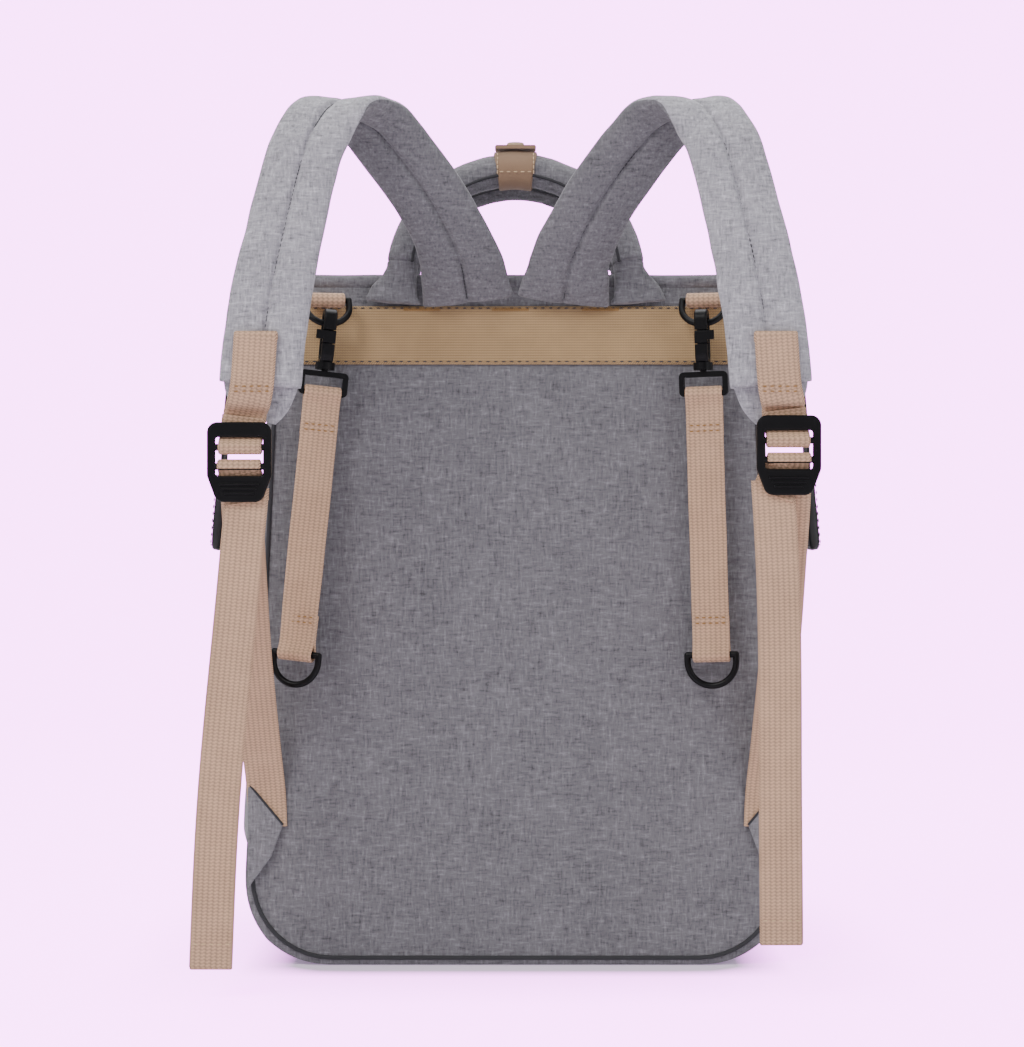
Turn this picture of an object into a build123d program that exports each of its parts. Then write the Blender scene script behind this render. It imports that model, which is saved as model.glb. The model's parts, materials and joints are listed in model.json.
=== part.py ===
from build123d import *
import os
from math import atan2, cos, degrees, hypot, radians, sin, tan

# Diaper backpack, standing on its flat base. Millimetres. +X is to the wearer's side seen from
# behind (right), +Y points from the back panel to the front pocket, +Z is up, and the origin is
# the centre of the base. LEFT and RIGHT are the -X and +X sides.
LEFT = -1
RIGHT = 1
SIDES = {"left": LEFT, "right": RIGHT}

# Bag body: outline in the XZ plane, side profile in the YZ plane
BAG_HEIGHT = 430.0
BASE_HALF_WIDTH = 170.0
RIM_HALF_WIDTH = 150.0
BAG_DEPTH = 190.0
CORNER_RADIUS = 54.0
KNEE_HEIGHT = BAG_HEIGHT - 65.0
BACK_LEAN = radians(15.0)
FRONT_LEAN = radians(4.0)
MOUTH_HINGE_HEIGHT = BAG_HEIGHT - 100.0

# Walls, from the outside in
SHELL = 3.0
SEAM_INSET = 5.5
PIPING_OUTER = 1.5
PIPING_FRONT = 1.0
GUSSET_START = 5.0
FOAM_THICKNESS = 8.0
FOAM_INSET = 8.0
FOAM_MARGIN = 3.0
LINING_GAP = 0.2
LINING = 1.0
BOARD_THICKNESS = 3.0
BOARD_MARGIN = 4.0
BOTTOM_HALF_LENGTH = BASE_HALF_WIDTH - 70.0
GUSSET_ROOF_GAP = 1.0
RIDGE_GAP = 7.0

# Webbing band across the back
BAND_LOW = BAG_HEIGHT - 58.0
BAND_HEIGHT = 37.0
BAND_THICKNESS = 1.8

# Rim hems, their steel stays and the zipper of the mouth
HEM_RADIUS = 5.0
HEM_INSET = 4.1
HEM_MARGIN = 1.5
HEM_TAB = 1.2
HEM_TAB_DEPTH = 22.0
STAY_RADIUS = 1.5
STAY_MARGIN = 4.0
TAPE_WIDTH = 6.6
TAPE_THICKNESS = 1.0
COIL_WIDTH = 1.8
COIL_HEIGHT = 2.4
COIL_GAP = 0.4
FULL_TAPE_WIDTH = 26.0
TAPE_END_RADIUS = 22.0
TAPE_END_REACH = RIM_HALF_WIDTH + 27.5
TAPE_END_DROP = 10.5
TAPE_END_THICKNESS = 1.6
CLEARANCE = 0.5

# Top flap, the front roof of the mouth
FLAP_HINGE_GAP = 2.5
FLAP_SIDE_INSET = 1.5

# Slider and pull, used on both zippers
SLIDER_LENGTH = 12.0
SLIDER_WIDTH = 9.0
SLIDER_PLATE = 1.2
SLIDER_BRIDGE_HEIGHT = 3.2
SLIDER_BRIDGE_WIDTH = 2.4
SLIDER_PARK = RIM_HALF_WIDTH - 9.0
SLIDER_ZONE = 16.0
PULL_LENGTH = 30.0
PULL_WIDTH = 9.0
PULL_THICKNESS = 1.2
PULL_LIFT = 1.0
PULL_END = 0.6
PULL_CORNER = 2.0
SLIDER_CORNER = 2.0
SLIDER_ARCH_SHARE = 0.7
SLIDER_ARCH_LEG = 1.2
PULL_WINDOW_GAP = 1.0

# Drooping ends of the mouth zipper
TAIL_LENGTH = 98.0
TAIL_THICKNESS = 1.6
TAIL_HINGE_GAP = 0.7
TAIL_LEAN = 4.5
TAIL_TAB_LENGTH = 51.0
TAIL_TAB_WIDTH = 30.0
TAIL_TAB_THICKNESS = 8.0
TAIL_TAB_GRIP = 14.0

# Front pocket, on the leaning front wall
POCKET_WIDTH = 2 * BASE_HALF_WIDTH - 104.0
POCKET_LOW = 22.0
POCKET_HEIGHT = BAG_HEIGHT - 212.0
POCKET_DEPTH = 34.0
POCKET_WALL = 2.4
POCKET_CORNER = 26.0
POCKET_ZIP_LENGTH = POCKET_WIDTH - 30.0
POCKET_ZIP_MARGIN = 4.0
POCKET_ZIP_DROP = 30.0
POCKET_ZIP_WIDTH = 18.0
POCKET_SLIT = 1.2

# Side pockets
SIDE_POCKET_HALF = BAG_DEPTH / 2 - 29.0
SIDE_POCKET_BULGE = 11.0
SIDE_POCKET_WALL = 1.8
SIDE_POCKET_LOW = 62.0
SIDE_POCKET_HEIGHT = 128.0
SIDE_POCKET_FLOOR = 2.0
ELASTIC_HEIGHT = 10.0

# Handles
HANDLE_RADIUS = 71.0
HANDLE_TUBE = 10.5
HANDLE_CROWN = HANDLE_RADIUS + 17.0
HANDLE_FOOT_HEIGHT = 24.0
HANDLE_FOOT_THICKNESS = 4.0
HANDLE_HINGE_GAP = 1.6
HANDLE_FOOT_INNER = HANDLE_RADIUS - 12.5
HANDLE_FOOT_OUTER = HANDLE_RADIUS + 23.0
HANDLE_NECK_INNER = HANDLE_RADIUS - 9.45
HANDLE_NECK_OUTER = HANDLE_RADIUS + 7.35
REAR_HANDLE_BASE = BAG_HEIGHT - 18.0
REAR_HANDLE_OFFSET = 5.5
FRONT_HANDLE_SETBACK = 17.0
FRONT_HANDLE_LEAN = radians(18.0)
FRONT_HANDLE_FOOT_GAP = 2.5

# Canvas wrap on the rear handle
WRAP_WIDTH = 26.0
WRAP_GAP = 0.3
WRAP_THICKNESS = 1.6
TAB_DEPTH = 17.0
TAB_THICKNESS = 2.0
SNAP_RADIUS = 5.5
SNAP_HEIGHT = 2.2
SNAP_SETBACK = 1.0
SNAP_EDGE = 1.0
TAB_CORNER = 3.0

# Shoulder straps: points of the middle line as (distance from centre, distance behind the back
# panel, height above the rim), with the strap's width and thickness there
STRAP_LINE = [
    (30.0, -4.0, -17.0, 53.0, 9.0),
    (33.0, 9.0, 5.0, 48.0, 11.0),
    (44.0, 24.0, 28.0, 46.0, 12.0),
    (57.0, 36.0, 49.0, 45.0, 12.0),
    (77.0, 50.0, 74.0, 44.0, 12.0),
    (89.0, 59.0, 84.5, 44.0, 12.0),
    (101.0, 70.0, 88.5, 44.0, 12.0),
    (110.0, 79.0, 84.5, 43.0, 12.0),
    (117.0, 85.0, 74.0, 43.0, 12.0),
    (123.0, 90.0, 59.0, 44.0, 12.0),
    (131.0, 95.0, 27.0, 45.0, 12.0),
    (140.0, 100.0, -16.0, 47.0, 12.0),
    (145.0, 103.0, -49.0, 48.0, 12.0),
    (147.0, 105.0, -76.0, 48.0, 11.0),
    (149.0, 100.5, -85.0, 40.0, 3.0),
    (152.0, 98.5, -95.0, 27.0, 3.0),
]
STRAP_HINGE_BEHIND = -8.0
STRAP_HINGE_HEIGHT = BAG_HEIGHT - 19.0
WEBBING_WIDTH = 25.0
WEBBING_THICKNESS = 1.6
# Where the end webbing meets the pad: outward shifts, height above the pad's full end, and rise
WEBBING_TOP_SHIFT = 2.5
WEBBING_PAD_SHIFT = 4.5
WEBBING_ON_PAD = 27.0
WEBBING_LIFT = 0.4
# Where it passes behind the lock's top bar: distance behind it, and shifts inwards on the way
WEBBING_BEHIND_LOCK = 4.2
WEBBING_ABOVE_LOCK = 4.0
WEBBING_LOCK_SHIFTS = (3.5, 2.0, 1.0, 0.5)

# Ladder locks and what hangs from them
LOCK_WIDTH = 37.0
LOCK_HEIGHT = 46.0
LOCK_THICKNESS = 4.0
LOCK_BEHIND = 109.0
LOCK_CORNER = 6.0
LOCK_WINDOW_WIDTH = 27.6
LOCK_WINDOW_TOP = 14.3
LOCK_WINDOW_LOW = -8.0
LOCK_BAR_RADIUS = 2.0
LOCK_UPPER_BAR = 8.5
LOCK_LOWER_BAR = -2.5
LOCK_TONGUE_SHARE = 0.7
LOCK_WINDOW_CORNER = 1.5
LOCK_EDGE = 0.9
LOOP_GAP = 0.5
TAIL_BEHIND = 108.5
TAIL_START_GAP = 2.0
TAIL_HEM = 14.0
LOAD_WEBBING_WIDTH = 24.0
# Each side's ladder lock, as (inwards of the base's half width, drop below the rim), and the ends
# of its adjuster tail: the top as a distance inwards, the low end as (distance out, height)
LOCK_PLACES = {LEFT: (11.0, 121.0), RIGHT: (13.0, 117.0)}
TAIL_STARTS = {LEFT: BASE_HALF_WIDTH - 15.5, RIGHT: BASE_HALF_WIDTH - 22.0}
TAIL_ENDS = {LEFT: (BASE_HALF_WIDTH + 6.0, 18.0), RIGHT: (BASE_HALF_WIDTH - 17.5, 32.0)}
LOAD_OUT = BASE_HALF_WIDTH - 12.0
LOAD_LINE = [
    (LOAD_OUT, 3.0, 86.0),
    (LOAD_OUT, 3.0, 113.0),
    (LOAD_OUT + 0.5, 54.0, BAG_HEIGHT - 230.0),
    (LOAD_OUT + 0.5, 100.5, BAG_HEIGHT - 149.0),
]
WEDGE_OUTER = BASE_HALF_WIDTH - 5.0
WEDGE_APEX = (BASE_HALF_WIDTH - 25.2, 87.4)
WEDGE_TOP = 112.0
WEDGE_LOW = 50.0
WEDGE_SHEET = 1.6
WEDGE_STANDOFF = 4.2
WEDGE_BLOCK_TOP = 84.0

# Stroller straps: D-rings, snap hooks and webbing. The chain hangs from the upper ring's curved
# wire, and the places below are measured from the centre of that wire.
CHAIN_OUT = HANDLE_FOOT_OUTER + 20.5
CHAIN_BEHIND = 13.0
CHAIN_HEIGHT = BAG_HEIGHT - 33.5
CHAIN_TURN = 12.0
CHAIN_LEANS = {LEFT: 5.7, RIGHT: 1.7}
RING_WIRE = 4.0
UPPER_RING_WIDTH = 31.0
LOWER_RING_WIDTH = 34.0
RING_DROP = 19.0
RING_BAR_FORWARD = 11.0
RING_TAB_WIDTH = UPPER_RING_WIDTH - 2 * RING_WIRE - 0.8
RING_LOOP_BORE = RING_WIRE / 2 + 1.0
RING_TAB_REACH = 30.0
RING_TAB_RISE = 1.5
BORE_OVERRUN = 2.0
LOWER_RING_TWISTS = {LEFT: -32.0, RIGHT: 0.0}
STROLLER_WIDTH = 23.0
STROLLER_THICKNESS = 1.7
STROLLER_FOLD = 22.0
STROLLER_TWIST_RUN = 6.0
HOOK_WIDTH = 8.0
HOOK_DEPTH = 15.0
HOOK_TOP = 9.0
HOOK_LOW = -25.5
HOOK_WALL = 3.4
HOOK_FLAT = 0.6
HOOK_EDGE = 1.2
MOUTH_OVERRUN = 2.0
COLLAR_OVERLAP = 1.0
GATE_LOW = -13.0
GATE_TOP = -4.0
GATE_THICKNESS = 2.6
GATE_NUB = 4.0
GATE_NUB_SETBACK = 0.4
GATE_NUB_RISE = 1.0
GATE_NUB_MARGIN = 2.4
GATE_EDGE = 0.8
COLLAR_RADIUS = 6.0
COLLAR_LENGTH = 3.5
PIVOT_RADIUS = 2.0
PIVOT_GAP = 0.05
PIVOT_HEAD_RADIUS = 2.9
PIVOT_HEAD_HEIGHT = 1.6
PIVOT_HEAD_GAP = 1.8
EYE_WIDTH = 30.0
EYE_HEIGHT = 15.0
EYE_WIRE = 3.2
EYE_THICKNESS = 4.0
EYE_GAP = 0.6
EYE_CORNER = 3.0
STEM_OVERLAP = 1.0
LOWER_RING_BAR = -203.5

# Lengths that only have to reach past the model
FAR = 260.0
SLICE = 600.0


def half_width(z, inset=0.0):
    """Half width of the bag's outline at a height."""
    return BASE_HALF_WIDTH - (BASE_HALF_WIDTH - RIM_HALF_WIDTH) * z / BAG_HEIGHT - inset


def bag_prism(inset):
    """The outline of the bag, drawn in by inset, run from front to back."""
    top = BAG_HEIGHT + HEM_RADIUS
    low_half = half_width(inset, inset)
    top_half = half_width(top, inset)
    outline = Polygon((-low_half, inset), (low_half, inset), (top_half, top), (-top_half, top), align=None)
    outline = fillet(outline.vertices().sort_by(Axis.Y)[:2], CORNER_RADIUS - inset)
    return extrude(Plane.XZ * outline, amount=FAR, both=True)


def side_slab(points, half=FAR):
    """A side profile, given as (y, z) points, run across the bag."""
    return extrude(Plane.YZ * Polygon(*points, align=None), amount=half, both=True)


def back_knee(inset):
    return KNEE_HEIGHT - inset * tan(BACK_LEAN / 2)


def back_y(z, inset):
    """The back wall's y at a height, inset from its outer face."""
    return -BAG_DEPTH / 2 + inset + max(0.0, z - back_knee(inset)) * tan(BACK_LEAN)


def front_y(z, inset):
    """The front wall's y at a height, inset from its outer face."""
    return BAG_DEPTH / 2 - z * tan(FRONT_LEAN) - inset / cos(FRONT_LEAN)


def back_path(inset, low, high):
    knee = back_knee(inset)
    heights = [low, knee, high] if low < knee < high else [low, high]
    return [(back_y(z, inset), z) for z in heights]


def back_layer(outer, inner, low, high):
    return side_slab(back_path(outer, low, high) + back_path(inner, low, high)[::-1])


def front_layer(outer, inner, low, high):
    return side_slab(
        [
            (front_y(low, outer), low),
            (front_y(high, outer), high),
            (front_y(high, inner), high),
            (front_y(low, inner), low),
        ]
    )


# The ridge: rear hem, rear tape, zipper chain, front tape, front hem, all at one height
RIDGE_Z = BAG_HEIGHT - HEM_RADIUS
REAR_HEM_Y = back_y(RIDGE_Z, HEM_INSET)
ZIP_Y = REAR_HEM_Y + HEM_RADIUS + TAPE_WIDTH
FRONT_HEM_Y = ZIP_Y + TAPE_WIDTH + HEM_RADIUS
HINGE_Y = front_y(MOUTH_HINGE_HEIGHT, SHELL / 2)
ROOF = atan2(RIDGE_Z - MOUTH_HINGE_HEIGHT, HINGE_Y - FRONT_HEM_Y)
FLAP_LENGTH = hypot(RIDGE_Z - MOUTH_HINGE_HEIGHT, HINGE_Y - FRONT_HEM_Y)
FLAP_PLANE = Plane(
    origin=(0, HINGE_Y, MOUTH_HINGE_HEIGHT), x_dir=(-1, 0, 0), z_dir=(0, sin(ROOF), cos(ROOF))
)
POCKET_PLANE = Plane(
    origin=(0, BAG_DEPTH / 2, 0), x_dir=(-1, 0, 0), z_dir=(0, cos(FRONT_LEAN), sin(FRONT_LEAN))
)
HEM_HALF_LENGTH = half_width(BAG_HEIGHT) - HEM_MARGIN
TAIL_TOP = RIDGE_Z - TAPE_END_RADIUS - TAPE_END_DROP


def roof_z(y, drop):
    return MOUTH_HINGE_HEIGHT + (HINGE_Y - y) * tan(ROOF) - drop / cos(ROOF)


def side_profile(back_inset, front_inset, low, drop, ridge):
    """Side view of the inside of the bag: back, front, and a roof that lies drop below the flap."""
    front_top = roof_z(front_y(MOUTH_HINGE_HEIGHT, front_inset), drop)
    ridge_y = HINGE_Y - (ridge + drop / cos(ROOF) - MOUTH_HINGE_HEIGHT) / tan(ROOF)
    return side_slab(
        [
            (front_y(low, front_inset), low),
            (front_y(front_top, front_inset), front_top),
            (ridge_y, ridge),
        ]
        + back_path(back_inset, low, ridge)[::-1]
    )


def tube_x(radius, half, y, z):
    """A round bar along X."""
    return Pos(0, y, z) * Rot(0, 90, 0) * Cylinder(radius, 2 * half)


def ribbon(stations):
    """A strap from rectangles that stay level along X: (x, y, z, width, thickness) at each station."""
    faces = []
    last = len(stations) - 1
    for i, (x, y, z, width, thickness) in enumerate(stations):
        before = stations[max(i - 1, 0)]
        after = stations[min(i + 1, last)]
        run_y = after[1] - before[1]
        run_z = after[2] - before[2]
        plane = Plane(origin=(x, y, z), x_dir=(1, 0, 0), z_dir=(0, run_y, run_z))
        faces.append(plane * Rectangle(width, thickness))
    return loft(faces, ruled=True)


# ---------------------------------------------------------------- bag body


def walls():
    """The sewn walls of the bag, its stiffeners and its lining."""
    shell = bag_prism(0) - bag_prism(SHELL)
    shell &= side_profile(
        GUSSET_START, GUSSET_START, -SHELL, SHELL / 2 + GUSSET_ROOF_GAP, RIDGE_Z - RIDGE_GAP
    )
    middle = Box(2 * BOTTOM_HALF_LENGTH, FAR * 2, CORNER_RADIUS)
    side_block = Pos(-FAR - BOTTOM_HALF_LENGTH, 0, 0) * Box(2 * FAR, 2 * FAR, SLICE * 2)
    seam_ring = bag_prism(PIPING_OUTER) - bag_prism(SEAM_INSET)
    panel_prism = bag_prism(SEAM_INSET)
    panel_top = RIDGE_Z - HEM_RADIUS
    front_top = MOUTH_HINGE_HEIGHT - GUSSET_START
    lining_back = SHELL + FOAM_THICKNESS + LINING_GAP
    lining_side = SHELL + LINING_GAP
    lining_front = GUSSET_START + LINING_GAP
    lining_low = SHELL + BOARD_THICKNESS + LINING_GAP
    lining_outer = bag_prism(lining_side) & side_profile(
        lining_back, lining_front, lining_low, SHELL / 2 + 2 * GUSSET_ROOF_GAP, RIDGE_Z - RIDGE_GAP
    )
    lining_inner = bag_prism(lining_side + LINING) & side_profile(
        lining_back + LINING, lining_front + LINING, lining_low + LINING, -HEM_RADIUS, RIDGE_Z
    )
    board = Box(
        2 * (half_width(0) - CORNER_RADIUS - BOARD_MARGIN),
        BAG_DEPTH - 2 * (GUSSET_START + BOARD_MARGIN),
        BOARD_THICKNESS,
        align=(Align.CENTER, Align.CENTER, Align.MIN),
    )
    rear_seam = seam_ring & back_layer(PIPING_FRONT, GUSSET_START, 0, panel_top)
    front_seam = seam_ring & front_layer(PIPING_FRONT, GUSSET_START, 0, front_top)
    return {
        "back_panel": panel_prism & back_layer(0, SHELL, 0, panel_top),
        "back_foam": bag_prism(FOAM_INSET)
        & back_layer(SHELL, SHELL + FOAM_THICKNESS, FOAM_INSET + FOAM_MARGIN, KNEE_HEIGHT - FOAM_MARGIN),
        "front_panel": panel_prism & front_layer(0, SHELL, 0, front_top),
        "bottom_panel": shell & middle,
        "gusset_left": shell & side_block,
        "gusset_right": shell & side_block.mirror(Plane.YZ),
        "base_board": Pos(0, 0, SHELL) * board,
        "lining": lining_outer - lining_inner,
        "piping": Compound([*rear_seam.solids(), *front_seam.solids()]),
        "webbing_band": panel_prism & back_layer(-BAND_THICKNESS, 0, BAND_LOW, BAND_LOW + BAND_HEIGHT),
    }


def hem(y):
    """A rolled hem with the bore that its steel stay lies in."""
    roll = tube_x(HEM_RADIUS, HEM_HALF_LENGTH, y, RIDGE_Z)
    return roll, tube_x(STAY_RADIUS, HEM_HALF_LENGTH - STAY_MARGIN, y, RIDGE_Z)


def half_chain(side, start_y, left_end, right_end):
    """One tape and its coil, on the rear (-1) or front (+1) side of the chain."""
    middle = (left_end + right_end) / 2
    length = right_end - left_end
    coil_y = ZIP_Y + side * (COIL_GAP + COIL_WIDTH) / 2
    edge_y = ZIP_Y + side * (COIL_GAP / 2 + COIL_WIDTH / 2)
    tape = Pos(middle, (start_y + edge_y) / 2, RIDGE_Z) * Box(length, abs(start_y - edge_y), TAPE_THICKNESS)
    return tape + Pos(middle, coil_y, RIDGE_Z) * Box(length, COIL_WIDTH, COIL_HEIGHT)


def tape_end(side):
    """The tape past the rim's corner: out, round a bend and down."""
    start = HEM_HALF_LENGTH + CLEARANCE * 2
    bend_x = TAPE_END_REACH - TAPE_END_RADIUS
    flat = Pos((start + bend_x) / 2, 0, TAPE_END_RADIUS) * Box(
        bend_x - start, FULL_TAPE_WIDTH, TAPE_END_THICKNESS
    )
    ring = Cylinder(TAPE_END_RADIUS + TAPE_END_THICKNESS / 2, FULL_TAPE_WIDTH) - Cylinder(
        TAPE_END_RADIUS - TAPE_END_THICKNESS / 2, FULL_TAPE_WIDTH
    )
    corner = Box(
        TAPE_END_RADIUS * 2,
        TAPE_END_RADIUS * 2,
        FULL_TAPE_WIDTH,
        align=(Align.MIN, Align.MAX, Align.CENTER),
    )
    bend = Pos(bend_x, 0, 0) * Rot(90, 0, 0) * (ring & corner.mirror(Plane.XZ))
    drop = Pos(TAPE_END_REACH, 0, -TAPE_END_DROP / 2) * Box(
        TAPE_END_THICKNESS, FULL_TAPE_WIDTH, TAPE_END_DROP
    )
    end = Pos(0, ZIP_Y, RIDGE_Z - TAPE_END_RADIUS) * (flat + bend + drop)
    return end if side == RIGHT else end.mirror(Plane.YZ)


def rim():
    """Rear hem and stay, and the rear half of the mouth zipper with its two drooping ends."""
    roll, stay = hem(REAR_HEM_Y)
    tab = bag_prism(SEAM_INSET) & back_layer(SHELL, SHELL + HEM_TAB, RIDGE_Z - HEM_TAB_DEPTH, RIDGE_Z)
    chain = half_chain(-1, REAR_HEM_Y, -HEM_HALF_LENGTH, HEM_HALF_LENGTH)
    bridge = HEM_HALF_LENGTH + CLEARANCE * 2
    reach = Pos(0, ZIP_Y - FULL_TAPE_WIDTH / 4, RIDGE_Z) * Box(
        2 * bridge + 1, FULL_TAPE_WIDTH / 2, TAPE_THICKNESS
    )
    inner = Pos(0, ZIP_Y, RIDGE_Z) * Box(2 * HEM_HALF_LENGTH, 2 * FULL_TAPE_WIDTH, 2 * HEM_RADIUS)
    return {
        "rear_hem": roll + tab - stay,
        "rear_rim_stay": stay,
        "rear_zipper_tape": (chain - roll) + (reach - inner) + tape_end(LEFT) + tape_end(RIGHT),
    }


def top_flap():
    """The front roof of the mouth with its hem, stay and half of the zipper."""
    roll, stay = hem(FRONT_HEM_Y)
    low_half = half_width(MOUTH_HINGE_HEIGHT, FLAP_SIDE_INSET)
    top_half = half_width(RIDGE_Z, FLAP_SIDE_INSET)
    sheet = Polygon(
        (-low_half, FLAP_HINGE_GAP),
        (low_half, FLAP_HINGE_GAP),
        (top_half, FLAP_LENGTH),
        (-top_half, FLAP_LENGTH),
        align=None,
    )
    panel = extrude(FLAP_PLANE * sheet, amount=SHELL / 2, both=True)
    chain = half_chain(1, FRONT_HEM_Y, -HEM_HALF_LENGTH, SLIDER_PARK - SLIDER_ZONE / 2 - CLEARANCE)
    return {
        "flap_panel": panel - roll,
        "front_hem": roll - stay,
        "front_rim_stay": stay,
        "front_zipper_tape": chain - roll,
    }


def slider_and_pull():
    """A slider on a chain along X at the origin, +Z away from the tapes, and its pull towards -X."""
    rail = COIL_HEIGHT / 2 + CLEARANCE
    upper = Pos(0, 0, rail + SLIDER_PLATE / 2) * Box(SLIDER_LENGTH, SLIDER_WIDTH, SLIDER_PLATE)
    lower = Pos(0, 0, -rail - SLIDER_PLATE / 2) * Box(SLIDER_LENGTH, SLIDER_WIDTH, SLIDER_PLATE)
    post = Pos(SLIDER_LENGTH / 2 - SLIDER_PLATE, 0, 0) * Box(
        2 * SLIDER_PLATE, COIL_GAP, 2 * rail + SLIDER_PLATE
    )
    top = rail + SLIDER_PLATE
    arch_length = SLIDER_LENGTH * SLIDER_ARCH_SHARE
    arch = Pos(0, 0, top + SLIDER_BRIDGE_HEIGHT / 2) * Box(
        arch_length, SLIDER_BRIDGE_WIDTH, SLIDER_BRIDGE_HEIGHT
    )
    hole = SLIDER_BRIDGE_HEIGHT - SLIDER_PLATE
    arch -= Pos(0, 0, top + hole / 2) * Box(
        arch_length - 2 * SLIDER_ARCH_LEG, SLIDER_BRIDGE_WIDTH * 2, hole
    )
    slider = fillet(upper.edges().filter_by(Axis.Z), SLIDER_CORNER)
    slider += fillet(lower.edges().filter_by(Axis.Z), SLIDER_CORNER)
    slider += post + arch
    # The pull's wire lies in the arch, and the frame is wider than the arch on both sides
    frame_z = top + PULL_LIFT
    wire = Pos(0, 0, frame_z) * Box(PULL_THICKNESS, PULL_WIDTH - PULL_CORNER, PULL_THICKNESS)
    plate = Pos((PULL_END - PULL_LENGTH) / 2, 0, frame_z) * Box(
        PULL_LENGTH + PULL_END, PULL_WIDTH, PULL_THICKNESS
    )
    plate = fillet(plate.edges().filter_by(Axis.Z).group_by(Axis.X)[0], PULL_CORNER)
    window = Pos(0, 0, frame_z) * Box(
        SLIDER_LENGTH + 2 * PULL_WINDOW_GAP,
        SLIDER_BRIDGE_WIDTH + 2 * PULL_WINDOW_GAP,
        3 * PULL_THICKNESS,
    )
    pull = plate - window + wire
    return slider, pull


def pull_hinge_height():
    return COIL_HEIGHT / 2 + CLEARANCE + SLIDER_PLATE + PULL_LIFT


def main_zipper():
    slider, pull = slider_and_pull()
    place = Pos(SLIDER_PARK, ZIP_Y, RIDGE_Z)
    return {"main_slider": place * slider, "main_pull": place * pull}


def zipper_tails():
    """Hanging ends of the tape, each held in a folded leather tab."""
    parts = {}
    for name, side in SIDES.items():
        hinge = Pos(side * TAPE_END_REACH, ZIP_Y, TAIL_TOP - TAIL_HINGE_GAP) * Rot(0, -side * TAIL_LEAN, 0)
        top = -TAIL_HINGE_GAP
        tape = Pos(0, 0, top - TAIL_LENGTH / 2) * Box(TAIL_THICKNESS, FULL_TAPE_WIDTH, TAIL_LENGTH)
        tab_z = top - TAIL_LENGTH + TAIL_TAB_GRIP - TAIL_TAB_LENGTH / 2
        tab = Pos(0, 0, tab_z) * Box(TAIL_TAB_THICKNESS, TAIL_TAB_WIDTH, TAIL_TAB_LENGTH)
        tab = fillet(tab.edges().filter_by(Axis.Z), TAIL_TAB_THICKNESS / 3)
        parts[f"zipper_tail_{name}"] = hinge * tape
        parts[f"tail_tab_{name}"] = hinge * (tab - tape)
    return parts


# ---------------------------------------------------------------- pockets


def front_pocket():
    """A box pocket on the front wall, with a zipped slot across its face."""
    shape = Pos(0, POCKET_LOW + POCKET_HEIGHT / 2) * RectangleRounded(POCKET_WIDTH, POCKET_HEIGHT, POCKET_CORNER)
    outer = extrude(POCKET_PLANE * shape, amount=POCKET_DEPTH)
    inner = extrude(POCKET_PLANE * offset(shape, -POCKET_WALL), amount=POCKET_DEPTH - POCKET_WALL)
    zip_y = POCKET_LOW + POCKET_HEIGHT - POCKET_ZIP_DROP
    slot = Pos(0, zip_y) * Rectangle(POCKET_ZIP_LENGTH, POCKET_ZIP_WIDTH)
    cutter = extrude(POCKET_PLANE * slot, amount=POCKET_DEPTH * 2)
    tape_plane = POCKET_PLANE.offset(POCKET_DEPTH - POCKET_WALL)
    chain_length = POCKET_ZIP_LENGTH - 2 * POCKET_ZIP_MARGIN
    slit = Pos(0, zip_y) * Rectangle(chain_length, POCKET_SLIT)
    tape = extrude(tape_plane * (slot - slit), amount=TAPE_THICKNESS)
    for side in (-1, 1):
        rail_y = zip_y + side * (POCKET_SLIT + COIL_WIDTH) / 2
        rail = Pos(0, rail_y) * Rectangle(chain_length, COIL_WIDTH)
        tape += extrude(tape_plane.offset(-(COIL_HEIGHT - TAPE_THICKNESS) / 2) * rail, amount=COIL_HEIGHT)
    slider, pull = slider_and_pull()
    zip_plane = tape_plane.offset(TAPE_THICKNESS / 2)
    park = Pos(POCKET_ZIP_LENGTH / 2 - SLIDER_LENGTH, zip_y, 0)
    return {
        "front_pocket": outer - inner - cutter,
        "pocket_zipper": tape,
        "pocket_slider": zip_plane.location * park * slider,
        "pocket_pull": zip_plane.location * park * pull,
    }


def pocket_arc(radius_drop, side, z):
    """Section of a side pocket: a shallow arc that stands off the gusset, open at the gusset."""
    base = half_width(z)
    ends = side * base
    crown = side * (base + SIDE_POCKET_BULGE - radius_drop)
    half = SIDE_POCKET_HALF - radius_drop
    line = Line((ends, half), (ends, -half))
    arc = ThreePointArc((ends, -half), (crown, 0), (ends, half))
    return Plane.XY.offset(z) * make_face([line, arc])


def side_pockets():
    """Bottle pockets on both gussets, with an elastic round each mouth."""
    low = SIDE_POCKET_LOW
    top = low + SIDE_POCKET_HEIGHT
    band_low = top - ELASTIC_HEIGHT
    pockets = []
    elastics = []
    for side in SIDES.values():
        outer = loft([pocket_arc(0, side, low), pocket_arc(0, side, band_low)], ruled=True)
        inner = loft(
            [
                pocket_arc(SIDE_POCKET_WALL, side, low + SIDE_POCKET_FLOOR),
                pocket_arc(SIDE_POCKET_WALL, side, band_low),
            ],
            ruled=True,
        )
        pockets += (outer - inner).solids()
        band = loft([pocket_arc(0, side, band_low), pocket_arc(0, side, top)], ruled=True)
        hollow = loft(
            [pocket_arc(SIDE_POCKET_WALL, side, band_low), pocket_arc(SIDE_POCKET_WALL, side, top)],
            ruled=True,
        )
        elastics += (band - hollow).solids()
    return {"side_pockets": Compound(pockets), "side_pocket_elastics": Compound(elastics)}


# ---------------------------------------------------------------- handles


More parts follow.
